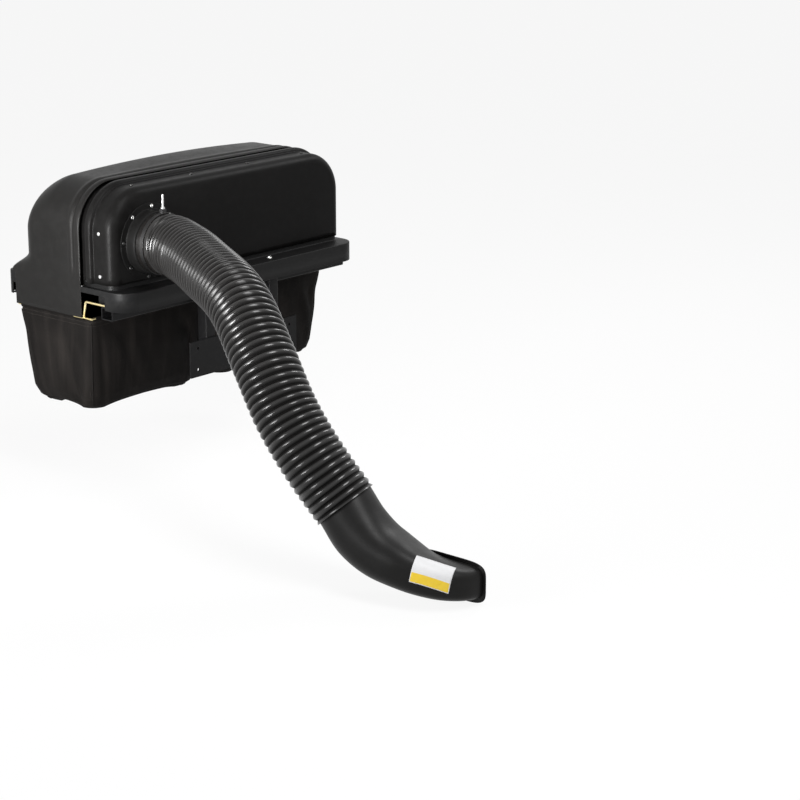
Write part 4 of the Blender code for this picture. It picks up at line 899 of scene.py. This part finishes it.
# %% Duct clamp
eased("duct_clamp_band", black_steel_and_shade, 0.0003, angle=35.0)
eased("duct_clamp_bolt", clear_zinc, 0.0004, angle=45.0)
print("the duct's top end is clamped")

# %% [markdown]
# ## The boot
# The boot turns the duct's round end into the wide flat mouth at its foot. It is a loft: each section
# has a centre, two directions, a half width, a half height and a power, from 2 for a circle to 5 for
# a rounded rectangle, and all of these run smoothly from section to section.

# %% The boot's sections
PLACE, ACROSS, UP, HALVES, POWER = slice(0, 3), slice(3, 6), slice(6, 9), slice(9, 11), slice(11, 12)
OUTLET, OUTLET_HALVES = np.array((-0.535, -1.329, -0.337)), (0.115, 0.0505)
BOOT_ROUND, FLANGE = 0.0890, 0.004
# The outer and the inner edge in plan, the height of the middle, the height from top to bottom, the power.
BOOT_PLAN = (
    ((-0.738, -1.115), (-0.562, -1.077), -0.228, 0.172, 2.2),
    ((-0.733, -1.200), (-0.550, -1.127), -0.270, 0.150, 2.5),
    ((-0.718, -1.283), (-0.543, -1.160), -0.290, 0.134, 2.8),
    ((-0.685, -1.357), (-0.540, -1.187), -0.309, 0.120, 3.2),
    ((-0.625, -1.416), (-0.538, -1.205), -0.327, 0.108, 3.8),
    ((-0.570, -1.440), (-0.537, -1.212), -0.335, 0.102, 4.4),
)


def boot_sections():
    """One row for each section: centre, across, up, half width, half height, power."""
    level = unit(np.cross((0.0, 0.0, 1.0), DUCT_HEADING))
    rise = np.cross(DUCT_HEADING, level)
    middles = [DUCT_END, *(np.array(((o[0] + i[0]) / 2, (o[1] + i[1]) / 2, z)) for o, i, z, _, _ in BOOT_PLAN)]
    middles.append(OUTLET)
    rows = [(*(DUCT_END + DUCT_HEADING * 0.0008), *level, *rise, BOOT_ROUND, BOOT_ROUND, 2.0)]
    for n, (o, i, z, height, power) in enumerate(BOOT_PLAN, 1):
        flat = np.array((i[0] - o[0], i[1] - o[1], 0.0))
        up = np.cross(middles[n + 1] - middles[n - 1], flat)
        up *= np.sign(up[2]) / np.linalg.norm(up)
        rows.append((*middles[n], *unit(flat), *up, np.linalg.norm(flat) / 2, height / 2, power))
    rows.append((*(OUTLET - (FLANGE, 0, 0)), 0.0, 1.0, 0.0, 0.0, 0.0, 1.0, *OUTLET_HALVES, 5.0))
    return np.array(rows)


def between(rows, count):
    """Every value of the sections, run through a Hermite curve over the distance between centres."""
    place = run_along(rows[:, PLACE])
    slope = np.gradient(rows, place, axis=0)
    at = np.linspace(0.0, place[-1], count)
    k = np.clip(np.searchsorted(place, at, side="right") - 1, 0, len(place) - 2)
    step = (place[k + 1] - place[k])[:, None]
    t = ((at - place[k]) / step[:, 0])[:, None]
    return hermite(t, step, rows[k], rows[k + 1], slope[k], slope[k + 1])


def section_rings(rows, shrink=0.0, count=112):
    """Superellipse: centre + (across * w * cos a + up * h * sin a) / (|cos a|^p + |sin a|^p)^(1 / p)."""
    a, power = full_turn(count)[None, :], rows[:, POWER]
    size = (np.abs(np.cos(a)) ** power + np.abs(np.sin(a)) ** power) ** (-1 / power)
    halves = np.maximum(rows[:, HALVES] - shrink, 0.01)
    w, h = halves[:, :1] * size * np.cos(a), halves[:, 1:] * size * np.sin(a)
    return (
        rows[:, None, PLACE] + unit(rows[:, ACROSS])[:, None] * w[..., None]
        + unit(rows[:, UP])[:, None] * h[..., None]
    )


sections = between(boot_sections(), 64)
print("boot skin:", section_rings(sections).shape[:2], "points")

# %% [markdown]
# ### The boot's neck and flange
# The outer skin starts with the neck inside the duct and ends with the flange, and the same rows, a
# wall's thickness smaller, lead back inside. Joined end to end they close the moulding.

# %% The boot
BOOT_WALL, NECK_WALL, NECK_RADIUS, NECK_LENGTH = 0.004, 0.003, 0.0850, 0.050
neck, throat, mouth = (np.array(row) for row in (sections[0], sections[0], sections[-1]))
neck[PLACE], neck[HALVES] = DUCT_END - DUCT_HEADING * NECK_LENGTH, NECK_RADIUS
throat[HALVES] = NECK_RADIUS
flange = []
for back, grown in ((FLANGE, 0.0105), (0.0033, 0.011), (0.0004, 0.011), (0.0, 0.0104)):
    rim = mouth.copy()
    rim[0] = OUTLET[0] - back
    rim[HALVES] += grown
    flange.append(rim)
outside = section_rings(np.array([neck, throat, *sections, *flange]))
mouth[0] = OUTLET[0]
inside = section_rings(np.array([mouth, *sections[::-3]]), BOOT_WALL)
throat_in = section_rings(np.array([throat, neck]), NECK_WALL)
skin = Skin().add(np.concatenate([outside, inside, throat_in]), rows_join=True, columns_join=True)
boot = skinned("boot_shell", skin, boot_black, ("discharge_boot",), 50)
print("boot:", len(boot.data.polygons), "faces")

# %% [markdown]
# ## The label
# A blank label follows the boot's outer side. Its flat grid is laid against the skin by a height
# field: each point takes the height of the skin points nearest to it in plan, weighted by distance.
# White and yellow fields are told apart by the label's own map.

# %% The label
LABEL_LENGTH, LABEL_WIDTH, LABEL_LIFT, LABEL_WALL = 0.112, 0.078, 0.0007, 0.0004
LABEL_RIM, YELLOW_TOP, PRINT_FADE = 0.0018, 0.0265, 0.0005


def label_grid(centre, normal, along, length, width, lift):
    """centre + u * along + v * sideways + normal * h(u, v), where h is a weighted mean of the skin."""
    normal = unit(normal)
    along = unit(along - normal * np.dot(along, normal))
    sideways = np.cross(normal, along)
    u, v = np.linspace(-length / 2, length / 2, 36), np.linspace(-width / 2, width / 2, 26)
    dense = section_rings(between(boot_sections(), 220), count=420).reshape(-1, 3) - centre
    a, b, h = dense @ along, dense @ sideways, dense @ normal
    near = (np.abs(a) < length) & (np.abs(b) < width) & (np.abs(h) < 0.05)
    a, b, h = a[near], b[near], h[near]
    u_grid, v_grid = (grid[..., None] for grid in np.meshgrid(u, v, indexing="ij"))
    weight = 1.0 / ((u_grid - a) ** 2 + (v_grid - b) ** 2 + 0.0000006) ** 3
    height = (weight * h).sum(axis=-1) / weight.sum(axis=-1) + lift
    points = centre + u_grid * along + v_grid * sideways + height[..., None] * normal
    return points, u + length / 2, v + width / 2


def field(value, low, high):
    """One between low and high, nought outside, with edges half a millimetre soft."""
    return value.step(low, low + PRINT_FADE) * (1.0 - value.step(high, high + PRINT_FADE))


def label_print():
    """White with a yellow field in its lower third, inside a white rim; both matt and a little dusty."""
    finish = Finish("blank_label", Specular_IOR_Level=0.35)
    where = finish.place(source="UV")
    along, up = finish.axis(where, "X"), finish.axis(where, "Y")
    yellow = field(up, LABEL_RIM, YELLOW_TOP) * field(along, LABEL_RIM, LABEL_LENGTH - LABEL_RIM - PRINT_FADE)
    dust = finish.noise(90.0, 5.0, roughness=0.7)
    shade = finish.mix(yellow, (0.70, 0.70, 0.71), (0.80, 0.56, 0.035))
    shade = finish.mix(dust.step(0.55, 0.80) * 0.25, shade, (0.42, 0.40, 0.36))
    return finish.wear(shade, 0.38 + 0.15 * dust, finish.relief(dust, 0.0003, 0.2))


points, u, v = label_grid(
    np.array((-0.6676, -1.3673, -0.2834)), (-0.72, -0.45, 0.53), (0.45, -0.85, -0.20),
    LABEL_LENGTH, LABEL_WIDTH, LABEL_LIFT,
)
label = skinned(
    "boot_label_sheet", Skin().add(points, u=u, v=v), label_print(), ("boot_label",), 60, (-0.60, -1.25, -0.30),
    wall=LABEL_WALL,
)
print("label:", len(label.data.polygons), "faces")

# %% [markdown]
# ## The bags
# A bag is a tall cloth box with an open top. Every row is a rounded rectangle that narrows and swells
# on the way down; the cloth then moves along its own outward direction in upright pleats that lean a
# little, deepest at mid height and near the corners, and in a few soft dents. Nothing here needs a
# cloth simulation: the bag hangs empty and stretched by its own weight.

# %% A bag's cloth
WIRE_X, WIRE_MIDDLE, WIRE_Z, FRONT_ROD_Y, REAR_ROD_Y = 0.5365, 0.039, 0.168, 0.152, 0.494
BAG_TOP, BAG_FLOOR, BAG_HEM, BAG_WALL, CORNER_DROP = 0.1637, -0.136, 0.005, 0.0025, 0.013
TAPER_SIDE, TAPER_FRONT, TAPER_REAR, BULGE = 0.020, 0.030, 0.026, 0.012
PLEAT, DENT, DENT_REACH, FLOOR_RIPPLE = 0.0036, 0.0080, 0.07, 0.0012
CORNER_STEPS, SIDE_STEPS = 9, (34, 26)
ROWS = np.concatenate([np.linspace(0.0, 0.06, 5), np.linspace(0.08, 0.93, 46), np.linspace(0.94, 1.0, 14)])
KNOWN_ROWS = (0.0, 0.06, 0.14, 0.35, 0.62, 0.86, 0.95, 0.988, 1.0)
BULGE_ROWS = (0, 0, 0.4, 1, 1, 0.7, 0.4, 0.2, 0.1)
CORNER_ROWS = (0.030, 0.030, 0.032, 0.036, 0.040, 0.042, 0.045, 0.048, 0.048)
TUCK_ROWS = (0, 0, 0, 0, 0, 0.002, 0.008, 0.020, 0.032)


def rounded_rectangle(low, high, corner, bulge):
    """x and y of a rounded rectangle for each row, each point's outward direction and share of its side."""
    (x0, y0), (x1, y1) = low, high
    centres = ((x1 - corner, y1 - corner), (x0 + corner, y1 - corner),
               (x0 + corner, y0 + corner), (x1 - corner, y0 + corner))
    one = np.ones_like(corner)
    parts = []
    for n, (cx, cy) in enumerate(centres):
        a = np.linspace(n * np.pi / 2, (n + 1) * np.pi / 2, CORNER_STEPS)[None, :]
        x, y = cx + corner * np.cos(a), cy + corner * np.sin(a)
        parts.append((x, y, np.cos(a) * one, np.sin(a) * one, np.zeros_like(a) * corner))
        nx, ny = np.cos((n + 1) * np.pi / 2), np.sin((n + 1) * np.pi / 2)
        s = np.linspace(0.0, 1.0, SIDE_STEPS[n % 2] + 2)[None, 1:-1]
        first_x, first_y = x[:, -1:], y[:, -1:]
        next_x, next_y = centres[(n + 1) % 4]
        swell = bulge * np.sin(np.pi * s)
        x = first_x + (next_x + corner * nx - first_x) * s + nx * swell
        y = first_y + (next_y + corner * ny - first_y) * s + ny * swell
        parts.append((x, y, nx * np.ones_like(x), ny * np.ones_like(x), s * one))
    return tuple(np.concatenate(part, axis=1) for part in zip(*parts))


def bag_points(sign, seed):
    """Rounded rectangles from the hem to the floor, moved outwards by pleats and dents."""
    share = ROWS[:, None]
    taper = np.maximum(0.0, share - 0.06)
    bulge, corner, tuck = (np.interp(share, KNOWN_ROWS, row) for row in (BULGE_ROWS, CORNER_ROWS, TUCK_ROWS))
    outer = WIRE_X + BAG_HEM - TAPER_SIDE * taper - tuck
    inner = WIRE_MIDDLE - BAG_HEM + TAPER_SIDE * taper + tuck
    front = FRONT_ROD_Y - BAG_HEM + TAPER_FRONT * taper + tuck
    back = REAR_ROD_Y + BAG_HEM - TAPER_REAR * taper - tuck * 2.0
    x0, x1 = (inner, outer) if sign > 0 else (-outer, -inner)
    x, y, out_x, out_y, along = rounded_rectangle((x0, front), (x1, back), corner, BULGE * bulge)
    steps = np.hypot(np.diff(x, axis=1), np.diff(y, axis=1))
    around = np.concatenate([np.zeros((len(ROWS), 1)), np.cumsum(steps, axis=1)], axis=1)
    random = np.random.default_rng(seed)
    hang = smoothstep(0.05, 0.30, share) * smoothstep(1.0, 0.80, share)
    near = np.exp(-np.minimum(along, 1 - along) * 5.0)
    near_corner = near**1.8 * (along > 0)
    pleat = np.zeros_like(x)
    for _ in range(7):
        wave, lean = random.uniform(22, 95), random.uniform(-3.0, 3.0)
        turn, size = random.uniform(0, 6.28), random.uniform(0.5, 1.0)
        pleat += size * np.sin(wave * around + lean * share * 2.0 + turn) * (32 / (wave + 10))
    dents = sum(
        random.uniform(-1, 1) * np.exp(
            -((around - random.uniform(0, 1.7)) / DENT_REACH) ** 2
            - ((share - random.uniform(0.2, 0.9)) / random.uniform(0.10, 0.35)) ** 2
        ) for _ in range(16)
    )
    move = hang * (PLEAT * pleat * (0.35 + 1.5 * near_corner) + DENT * dents)
    z = BAG_TOP - (BAG_TOP - BAG_FLOOR) * share - CORNER_DROP * near * smoothstep(0.50, 1.0, share)
    points = np.stack([x + out_x * move, y + out_y * move, z], axis=-1)
    pull = np.linspace(0.94, 0.0, 12)[:, None]
    middle = points[-1].mean(axis=0)
    floor = middle + (points[-1] - middle) * pull[..., None]
    ripple = FLOOR_RIPPLE * np.sin(np.pi * pull) * np.sin(around[-1] * 20.0) * (pull < 0.9)
    floor[:, :, 2] = BAG_FLOOR + ripple + FLOOR_RIPPLE * (1 - pull) - CORNER_DROP * near[-1] * pull**4
    fold = np.clip(-move / 0.009, 0.0, 1.0)
    depth = (BAG_TOP - BAG_FLOOR) * share[:, 0]
    return points, floor, around, fold, depth


bags = {}
for (side, sign), seed in zip(SIDES, (11, 29)):
    points, floor, around, fold, depth = bag_points(sign, seed)
    bags[side] = points
    skin = Skin().add(
        np.concatenate([points, floor]), columns_join=True,
        u=np.concatenate([depth, depth[-1] + np.linspace(0.01, 0.18, len(floor) + 1)]),
        v=np.append(around[0], around[0, -1] + 0.005),
        mark=np.concatenate([fold, np.zeros(floor.shape[:2])]),
    )
    skinned(
        f"bag_cloth_{side}", skin, bag_cloth, (f"bag_{side}",), 70, (sign * 0.29, 0.32, 0.0), wall=BAG_WALL,
    )
print("bags:", points.shape[:2], "points each, plus their floors")

# %% [markdown]
# The bag's panels meet in corded seams at its four upright edges and around its floor. Above the hem,
# cloth sleeves hold the bag on its wire frame, and the front of each side wire stays bare for its
# hook. Bevelled curves could draw the cords, but their paths are rows and columns of the bag's own
# grid, and taken from there they follow every pleat.

# %% Piping and sleeves
PIPING, PIPING_OUT, PIPED_ROW = 0.0024, 0.002, -6
SLEEVE_HALF, SLEEVE_TOP, SLEEVE_FOOT = 0.0048, 0.0054, 0.0085
side_x, side_y = np.array((1.0, 0, 0)), np.array((0, 1.0, 0))
long_side, short_side = SIDE_STEPS
CORNERS = CORNER_STEPS // 2 + np.array((
    0, CORNER_STEPS + long_side, 2 * CORNER_STEPS + long_side + short_side,
    3 * CORNER_STEPS + 2 * long_side + short_side,
))


def piping(points):
    """A cord a(s) + r * (cos a * out + sin a * up): down each corner of the cloth, and around its foot."""
    skin = Skin()
    for column in CORNERS:
        edge = points[3:PIPED_ROW, column]
        out = edge - points[3:PIPED_ROW].mean(axis=1)
        rod(skin, edge + out * (1, 1, 0) * PIPING_OUT, PIPING, 10)
    rim = points[PIPED_ROW]
    out = rim - rim.mean(axis=0)
    loop = rim.mean(axis=0) + out * 1.003
    a = full_turn(10)[None, :, None]
    ring = np.cos(a) * unit(out)[:, None] + np.sin(a) * np.array((0.0, 0.0, 1.0))
    return skin.add(loop[:, None] + PIPING * ring, rows_join=True, columns_join=True)


def sleeve(skin, start, end, flat):
    """A rucked oval around a straight wire: higher below the wire than above it."""
    share = np.linspace(0.0, 1.0, 40)[:, None]
    path = np.array(start) + (np.array(end) - start) * share
    a = full_turn(20)
    ruck = 1 + 0.06 * np.sin(share * 61.0) * np.sin(share * 23.0)
    ring = (SLEEVE_HALF * ruck)[..., None] * np.cos(a)[None, :, None] * flat
    high = np.where(np.sin(a) > 0, SLEEVE_TOP, SLEEVE_FOOT) * np.sin(a)
    tube = path[:, None] + (ring + high[None, :, None] * np.array((0, 0, 1.0))) + (0, 0, WIRE_Z)
    skin.add(tube, columns_join=True, u=0.03 + np.arange(41) * 0.006, v=np.linspace(0.0, 0.036, 21))
    return skin.lid(tube[0]).lid(tube[-1])


for side, sign in SIDES:
    skinned(f"bag_piping_{side}", piping(bags[side]), piping_cloth, sharp=80, slot=f"bag_{side}")
    skin = Skin()
    x_out, x_in = sign * WIRE_X, sign * WIRE_MIDDLE
    for x in (x_out, x_in):
        sleeve(skin, (x, 0.232, 0), (x, 0.486, 0), side_x)
    for y, inset in ((FRONT_ROD_Y, 0.018), (REAR_ROD_Y, 0.050)):
        sleeve(skin, (x_out - sign * inset, y, 0), (x_in + sign * inset, y, 0), side_y)
    skinned(f"bag_sleeve_{side}", skin, bag_cloth, sharp=70, slot=f"bag_{side}")
print("piping and sleeves on both bags")

# %% [markdown]
# Each bag hangs on a bent wire frame with two hooks over the cross tube in front and two over the rear
# beam. A curve object with a bevel would do, but grids weld into one piece with closed ends: the bends
# are arcs of points between straight runs, and a circle is carried along each wire.

# %% Wire frames
HOOK_Z, WIRE, ROD, TIE = 0.2228, 0.004, 0.0037, 0.0030
BEND, REAR_BEND, REAR_INSET = 0.0065, 0.0055, 0.0275


def bend(points, radius=BEND):
    """Each corner becomes an arc: p(t) = a (1 - t) ** 2 + 2 b t (1 - t) + c t ** 2."""
    points = np.array(points, float)
    t = np.linspace(0.0, 1.0, 7)[:, None]
    made = [points[:1]]
    for before, here, after in zip(points, points[1:], points[2:]):
        a, c = here + unit(before - here) * radius, here + unit(after - here) * radius
        made.append(a * (1 - t) ** 2 + here * 2 * t * (1 - t) + c * t**2)
    return np.concatenate([*made, points[-1:]])


for side, sign in SIDES:
    skin = Skin()
    for x in (sign * WIRE_X, sign * WIRE_MIDDLE):
        rod(skin, bend([(x, 0.073, HOOK_Z), (x, 0.174, HOOK_Z), (x, 0.186, WIRE_Z), (x, 0.5008, WIRE_Z)]), WIRE)
        rod(skin, np.array([(x, y, WIRE_Z) for y in (0.205, 0.176, 0.146)]), TIE)
    for y in (FRONT_ROD_Y, REAR_ROD_Y):
        ends = [(sign * x, y, WIRE_Z + 0.0003) for x in (0.5377, 0.0378)]
        rod(skin, np.linspace(*ends, 8), ROD)
    for x in (sign * (WIRE_X - REAR_INSET), sign * (WIRE_MIDDLE + REAR_INSET)):
        hook = [(x, 0.4876, WIRE_Z), (x, 0.5137, WIRE_Z), (x, 0.5197, HOOK_Z), (x, 0.5427, HOOK_Z)]
        rod(skin, bend(hook, REAR_BEND), WIRE)
    skinned(f"bag_wire_{side}", skin, yellow_zinc, (f"bag_frame_{side}",), 50)
print("two wire frames")

# %% [markdown]
# A short webbing loop under each bag's front edge tips the bag out. It is a flat strap carried along
# half an ellipse. A strip with a Solidify modifier would have plain edges, so sixteen points give the
# strap's section its thick selvedges.

# %% Handle loops
LOOP_INSET, LOOP_Y, LOOP_HALF, LOOP_DROP = 0.1165, 0.239, 0.020, 0.0145
# The strap's section in millimetres: sixteen points across its width and through its thickness.
STRAP_WIDE = np.array([-7.0, -6.8, -5.8, -5.2, 0.0, 5.2, 5.8, 6.8, 7.0, 6.8, 5.8, 5.2, 0.0, -5.2, -5.8, -6.8])
STRAP_THICK = np.array([
    -0.9, -0.1, 0.0, -0.25, -0.30, -0.25, 0.0, -0.1, -0.9, -1.7, -1.8, -1.55, -1.5, -1.55, -1.8, -1.7
])
t = np.linspace(0.0, np.pi, 40)
for side, sign in SIDES:
    x, top_z = sign * (WIRE_X - LOOP_INSET), BAG_FLOOR + 0.0006
    path = np.stack([
        x - sign * LOOP_HALF * np.cos(t), np.full_like(t, LOOP_Y), top_z - LOOP_DROP * np.sin(t)
    ], axis=-1)
    out = unit(np.stack([-sign * np.cos(t) * LOOP_DROP, np.zeros_like(t), -np.sin(t) * LOOP_HALF], axis=-1))
    wide, thick = STRAP_WIDE[None, :, None] * side_y, STRAP_THICK[None, :, None] * out[:, None]
    points = path[:, None] + 0.001 * wide + 0.001 * thick
    skin = Skin().add(points, columns_join=True, u=np.linspace(0.0, 0.062, 41), v=np.linspace(0.0, 0.032, 17))
    skin.lid(points[0]).lid(points[-1])
    skinned(f"bag_loop_{side}", skin, webbing, (f"bag_handle_{side}",), 60)
print("two handle loops")

# %% [markdown]
# ## What stays as it is
# Any node of the model that no piece stands for still gets a real finish in its material slots.

# %% Finishes for the nodes that stay
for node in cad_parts.values():
    for slot in node.material_slots:
        slot.material = frame_paint
print(len(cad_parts), "nodes have a finish behind their pieces")

# %% [markdown]
# ## Camera
# The camera stands where the photograph was taken from: to the front right and a little above,
# looking 16 degrees down, with a long lens. Its focal length is known in pixels of the square frame,
# so it is turned into millimetres for Blender's sensor.

# %% Camera
CAMERA_PLACE, LEVEL_VIEW, PITCH = (-5.196, -5.136, 1.904), (0.759, 0.651, 0.0), np.radians(16)
FOCAL_PIXELS, FRAME_PIXELS, SENSOR = 2265, 800, 36.0
ahead = unit(np.array(LEVEL_VIEW) * np.cos(PITCH) + np.array((0, 0, -np.sin(PITCH))))
right = unit((LEVEL_VIEW[1], -LEVEL_VIEW[0], 0.0))
above = np.cross(right, ahead)
lens = bpy.data.cameras.new("camera")
lens.lens, lens.sensor_width, lens.clip_end = FOCAL_PIXELS / FRAME_PIXELS * SENSOR, SENSOR, 100.0
camera = bpy.data.objects.new("camera", lens)
camera.matrix_world = Matrix.Translation(CAMERA_PLACE) @ Matrix((right, above, -ahead)).transposed().to_4x4()
bpy.context.scene.collection.objects.link(camera)
bpy.context.scene.camera = camera
print("lens:", round(lens.lens, 1), "mm")

# %% [markdown]
# ## Floor and backdrop
# The studio is white: a plain pale floor just below the boot and a world that the camera, mirrors and
# glass see as white, while the light that it sheds on the object stays soft and low.

# %% Floor and backdrop
FLOOR_GAP, FLOOR_REACH, FLOOR_SEEN, SOFT_LIGHT = 0.002, 14.0, 0.90, 0.25
WHITE = (1.0, 1.0, 1.0)


def seen_directly(nodes):
    """One for rays from the camera, off mirrors and through glass, nought for the light on the object."""
    camera, glossy, clear = (
        nodes.node("ShaderNodeLightPath", output=f"Is {kind} Ray")
        for kind in ("Camera", "Glossy", "Transmission")
    )
    return camera.math("MAXIMUM", camera.math("MAXIMUM", camera, glossy), clear)


def stage_white():
    """A pale floor: mostly a white that only those rays see, and a matt that takes the shadow."""
    finish = Finish("studio_floor", Specular_IOR_Level=0.0, Roughness=0.9)
    finish.wear(finish.mix(finish.noise(0.6, 2.0), (0.88, 0.88, 0.88), (0.90, 0.90, 0.90)))
    glow = finish.node("ShaderNodeEmission", {}, {"Color": WHITE, "Strength": 1.0})
    mixed = finish.node("ShaderNodeMixShader", {}, {
        0: seen_directly(finish) * FLOOR_SEEN, 1: Signal(finish, finish.shader.outputs[0]), 2: glow
    })
    finish.join(mixed, finish.tree.nodes["Material Output"].inputs["Surface"])
    return finish.material


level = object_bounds()[0][2] - FLOOR_GAP
ground = bpy.data.meshes.new("floor")
corners = [(FLOOR_REACH * x, FLOOR_REACH * y, level) for x, y in ((-1, -1), (1, -1), (1, 1), (-1, 1))]
ground.from_pydata(corners, [], [(0, 1, 2, 3)])
ground.materials.append(stage_white())
floor = bpy.data.objects.new("floor", ground)
bpy.context.scene.collection.objects.link(floor)

world = bpy.data.worlds.new("studio")
world.use_nodes = True
world.node_tree.nodes.clear()
sky = Nodes(world.node_tree)
soft, white = (
    sky.node("ShaderNodeBackground", {}, {"Color": WHITE, "Strength": strength})
    for strength in (SOFT_LIGHT, 1.0)
)
chosen = sky.node("ShaderNodeMixShader", {}, {0: seen_directly(sky), 1: soft, 2: white})
sky.node("ShaderNodeOutputWorld", {}, {"Surface": chosen})
bpy.context.scene.world = world
bpy.context.scene.view_settings.view_transform = "Standard"
print("floor at", round(level, 4))

# %% [markdown]
# ## Lamps
# Black plastic shows its shape only by what it reflects, so the lamps are big and soft: a key from the
# rear right that draws the bead, the bag's end and one row of glints on the duct, a weak strip for
# the rounded corners, a high one in front that draws the duct's second row, and one on the far side
# for the hood's upper edges.

# %% Lamps
def softbox(name, place, target, size, watts, spread=180.0):
    """A rectangular area lamp at a place, turned to face its target."""
    lamp = bpy.data.lights.new(name, "AREA")
    lamp.shape, lamp.size, lamp.size_y = "RECTANGLE", size[0], size[1]
    lamp.energy, lamp.spread = watts, np.radians(spread)
    obj = bpy.data.objects.new(name, lamp)
    turned_to = (Vector(place) - Vector(target)).to_track_quat("Z", "Y")
    obj.matrix_world = Matrix.Translation(place) @ turned_to.to_matrix().to_4x4()
    bpy.context.scene.collection.objects.link(obj)
    return obj


softbox("key", (-4.37, 1.30, 1.26), (-0.5, -0.5, 0.2), (2.4, 1.2), 110.0)
softbox("corner", (-2.60, -0.45, 0.45), (-0.5, 0.06, 0.52), (0.5, 1.0), 22.0, 60.0)
softbox("top", (-0.86, -2.53, 3.15), (-0.5, -0.5, 0.2), (1.2, 3.0), 112.0)
softbox("edge", (2.9, -0.9, 2.9), (0.0, 0.1, 0.5), (1.3, 1.3), 50.0)
print("four softboxes")
